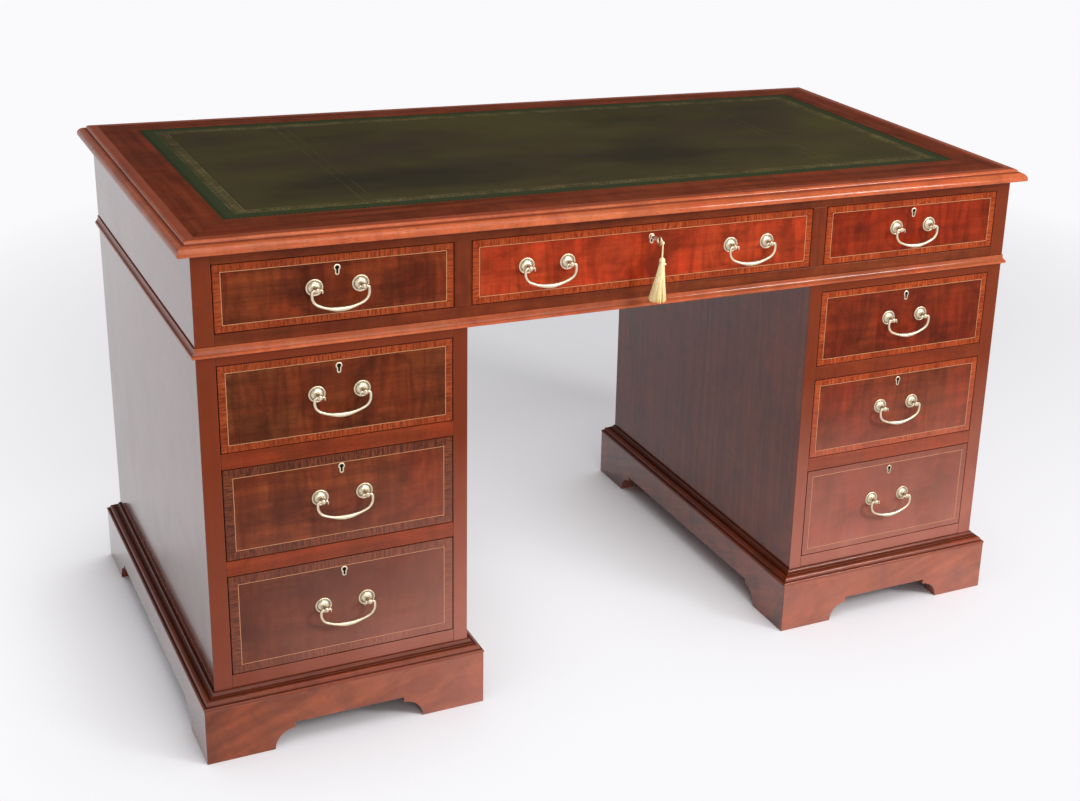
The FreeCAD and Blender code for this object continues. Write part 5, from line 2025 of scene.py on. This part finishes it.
    def cord_curve(self) -> Object:
        """The cord from the knot down into the tassel's head, a smooth curve through its control points."""
        heights = np.linspace(self.cord_top, self.cord_top - self.cord_length, 5)
        curve = bpy.data.curves.new("tassel_line", "CURVE")
        curve.dimensions = "3D"
        curve.bevel_depth = self.cord
        curve.bevel_resolution = 4
        curve.use_fill_caps = True
        spline = curve.splines.new("NURBS")
        spline.points.add(len(heights) - 1)
        sway = np.array([0, 0.15, -0.1, 0.1, 0]) * MM
        places = np.column_stack([sway, np.full(5, self.hang), heights, np.ones(5)])
        spline.points.foreach_set("co", places.ravel())
        spline.order_u = 3
        spline.use_endpoint_u = True
        return placed("tassel_line", curve)

    def make(self, bench: Bench) -> None:
        """Makes the key, the bolt, the cord and the tassel."""
        bench.piece("cabinet_key", self.key(), BRASS, "key", ["key"], smooth=50)
        bench.piece("spring_bolt", self.bolt(), BRASS, "lock_bolt", ["lock_bolt"])
        bench.piece("cord_hitch", self.hitch(), SILK, "key", smooth=60)
        tassel = bench.piece("silk_tassel", self.tassel(), SILK, "tassel", ["tassel"], smooth=60)
        cord = self.cord_curve()
        cord.data.materials.append(bench.material(SILK))
        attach(cord, "tassel")
        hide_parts("tassel_cord")
        LOG.info("tassel_line: %.0f mm of cord, on tassel", self.cord_length / MM)


# The studio

@dataclass(frozen=True)
class Viewpoint:
    """Where the camera stands, which way it looks and how much it sees."""

    place: Place = (-1.1205, -2.488, 1.4255)
    azimuth: float = -30.6
    elevation: float = 20.55
    roll: float = 3.5
    lens: float = 56.03
    shift: tuple[float, float] = (-0.177, -0.028)

    def make(self) -> None:
        """Makes the camera.

        Its back axis points from the desk to the camera; right and up are square to it and then rolled.
        """
        around, above, tilt = (math.radians(angle) for angle in (self.azimuth, self.elevation, self.roll))
        back = np.array([
            math.sin(around) * math.cos(above),
            -math.cos(around) * math.cos(above),
            math.sin(above),
        ])
        right = np.cross(-back, [0, 0, 1])
        right = right / np.linalg.norm(right)
        up = np.cross(right, -back)
        cosine, sine = math.cos(tilt), math.sin(tilt)
        axes = [cosine * right + sine * up, cosine * up - sine * right, back]
        matrix = np.eye(4)
        matrix[:3, :3] = np.column_stack(axes)
        matrix[:3, 3] = self.place
        camera = bpy.data.cameras.new("viewpoint")
        camera.sensor_width = 36
        camera.lens = self.lens
        camera.shift_x, camera.shift_y = self.shift
        thing = placed("viewpoint", camera)
        thing.matrix_world = matrix.T.tolist()
        bpy.context.scene.camera = thing


@dataclass(frozen=True)
class SoftLight:
    """A large square lamp: where it hangs, what it points at, how wide and how strong it is."""

    name: str
    place: Place
    aim: Place
    width: float
    watts: float

    def make(self) -> None:
        """Makes the lamp, its axis turned from straight down to its aim."""
        lamp = bpy.data.lights.new(self.name, "AREA")
        lamp.shape = "SQUARE"
        lamp.size = self.width
        lamp.energy = self.watts
        thing = placed(self.name, lamp)
        away = np.array(self.aim) - np.array(self.place)
        thing.location = self.place
        thing.rotation_euler = (
            math.atan2(math.hypot(away[0], away[1]), -away[2]),
            0,
            math.atan2(away[1], away[0]) - math.pi / 2,
        )


@dataclass
class Studio:
    """A pale floor, a pale surround and soft lamps."""

    reach: float = 30
    floor_colour: Colour = (250, 249, 252)
    sky_strength: float = 0.36
    sky_shown: float = 0.95
    ceiling_shown: float = 0.4
    wall_shown: float = 0.3
    pool: Place = (-0.75, -1.2, 0)
    pool_shown: float = 0.3
    pool_span: Point = (0.5, 1.9)
    contact: float = 0.3
    contact_span: Point = (0.4, 0.95)
    ceiling_span: Point = (0.3, 0.65)
    wall_span: Point = (0.2, 0.7)
    wall_foot: Point = (0.02, 0.15)
    lamps: Sequence[SoftLight] = (
        SoftLight("overhead_softbox", (0.3, -2.0, 3.2), (0, 0, 0.5), 2.0, 40),
        SoftLight("right_softbox", (2.2, -3.0, 2.1), (0, 0, 0.5), 0.9, 72),
        SoftLight("front_softbox", (-0.7, -4.2, 2.0), (0, 0, 0.4), 2.2, 30),
    )

    def floor(self) -> None:
        """The floor, seen partly as plain white: least in the pool of shade behind the desk and under it."""
        mesh = bpy.data.meshes.new("floor")
        corners = corners_of((-self.reach, -self.reach), (self.reach, self.reach))
        mesh.from_pydata(np.insert(corners, 2, 0, axis=1).tolist(), [], [(0, 1, 2, 3)])
        thing = placed("floor", mesh)
        material = bpy.data.materials.new("floor_paint")
        material.use_nodes = True
        graph = Graph(material.node_tree)
        material.node_tree.nodes.clear()
        paint = {"Color": srgb(*self.floor_colour)}
        matt, plain = graph.add("BsdfDiffuse", paint), graph.add("Emission", paint)
        from_pool = graph.stretch(graph.place(), (1, 1, 1), shift=self.pool)
        away = graph.add("VectorMath", {0: from_pool}, operation="LENGTH").outputs["Value"]
        gap = graph.add("AmbientOcclusion", {"Distance": self.contact}, samples=8).outputs["AO"]
        shown = graph.span(away, *self.pool_span, self.pool_shown, 1)
        shown = graph.times(shown, graph.span(gap, *self.contact_span))
        share = graph.times(self.seen(graph), shown)
        blend = graph.add("MixShader", {0: share, 1: matt.outputs[0], 2: plain.outputs[0]})
        graph.feed(graph.add("OutputMaterial").inputs[0], blend.outputs[0])
        mesh.materials.append(material)

    def seen(self, graph: Graph) -> Socket:
        """1 for what the camera, a reflection or a clear piece sees, and 0 for light that falls on things."""
        path = graph.add("LightPath")
        kinds = ("Is Camera Ray", "Is Glossy Ray", "Is Transmission Ray")
        direct = graph.math("MAXIMUM", *(path.outputs[kind] for kind in kinds[:2]))
        return graph.math("MAXIMUM", direct, path.outputs[kinds[2]])

    def surround(self) -> None:
        """The world: soft light from all round, seen as white, with a greyer ceiling and far wall."""
        world = bpy.data.worlds.new("surround")
        world.use_nodes = True
        graph = Graph(world.node_tree)
        ground = world.node_tree.nodes["Background"]
        ground.inputs["Color"].default_value = srgb(250, 250, 253)
        _, back, height = graph.parts(graph.add("TexCoord").outputs["Generated"])
        shown = graph.span(height, *self.ceiling_span, self.sky_shown, self.ceiling_shown)
        foot = graph.span(height, *self.wall_foot)
        wall = graph.times(graph.span(back, *self.wall_span), foot)
        shown = graph.math("MINIMUM", shown, graph.span(wall, 0, 1, self.sky_shown, self.wall_shown))
        extra = graph.math("SUBTRACT", shown, self.sky_strength)
        strength = graph.times(self.seen(graph), extra, self.sky_strength)
        graph.feed(ground.inputs["Strength"], strength)
        bpy.context.scene.world = world

    def make(self) -> None:
        """Makes the floor, the surround and the lamps."""
        self.floor()
        self.surround()
        for lamp in self.lamps:
            lamp.make()
        bpy.context.scene.view_settings.view_transform = "Standard"


def main() -> None:
    """Builds the desk and its studio."""
    logging.basicConfig(level=logging.INFO, format="%(message)s")
    bench = Bench()
    Viewpoint().make()
    KeyAndTassel().make(bench)
    drawers = all_drawers()
    Top().make(bench)
    Carcase().make(bench, drawers)
    Plinths().make(bench)
    handle = Handle()
    for drawer in drawers:
        drawer.make(bench, handle)
    Studio().make()


if __name__ == "__main__":
    main()
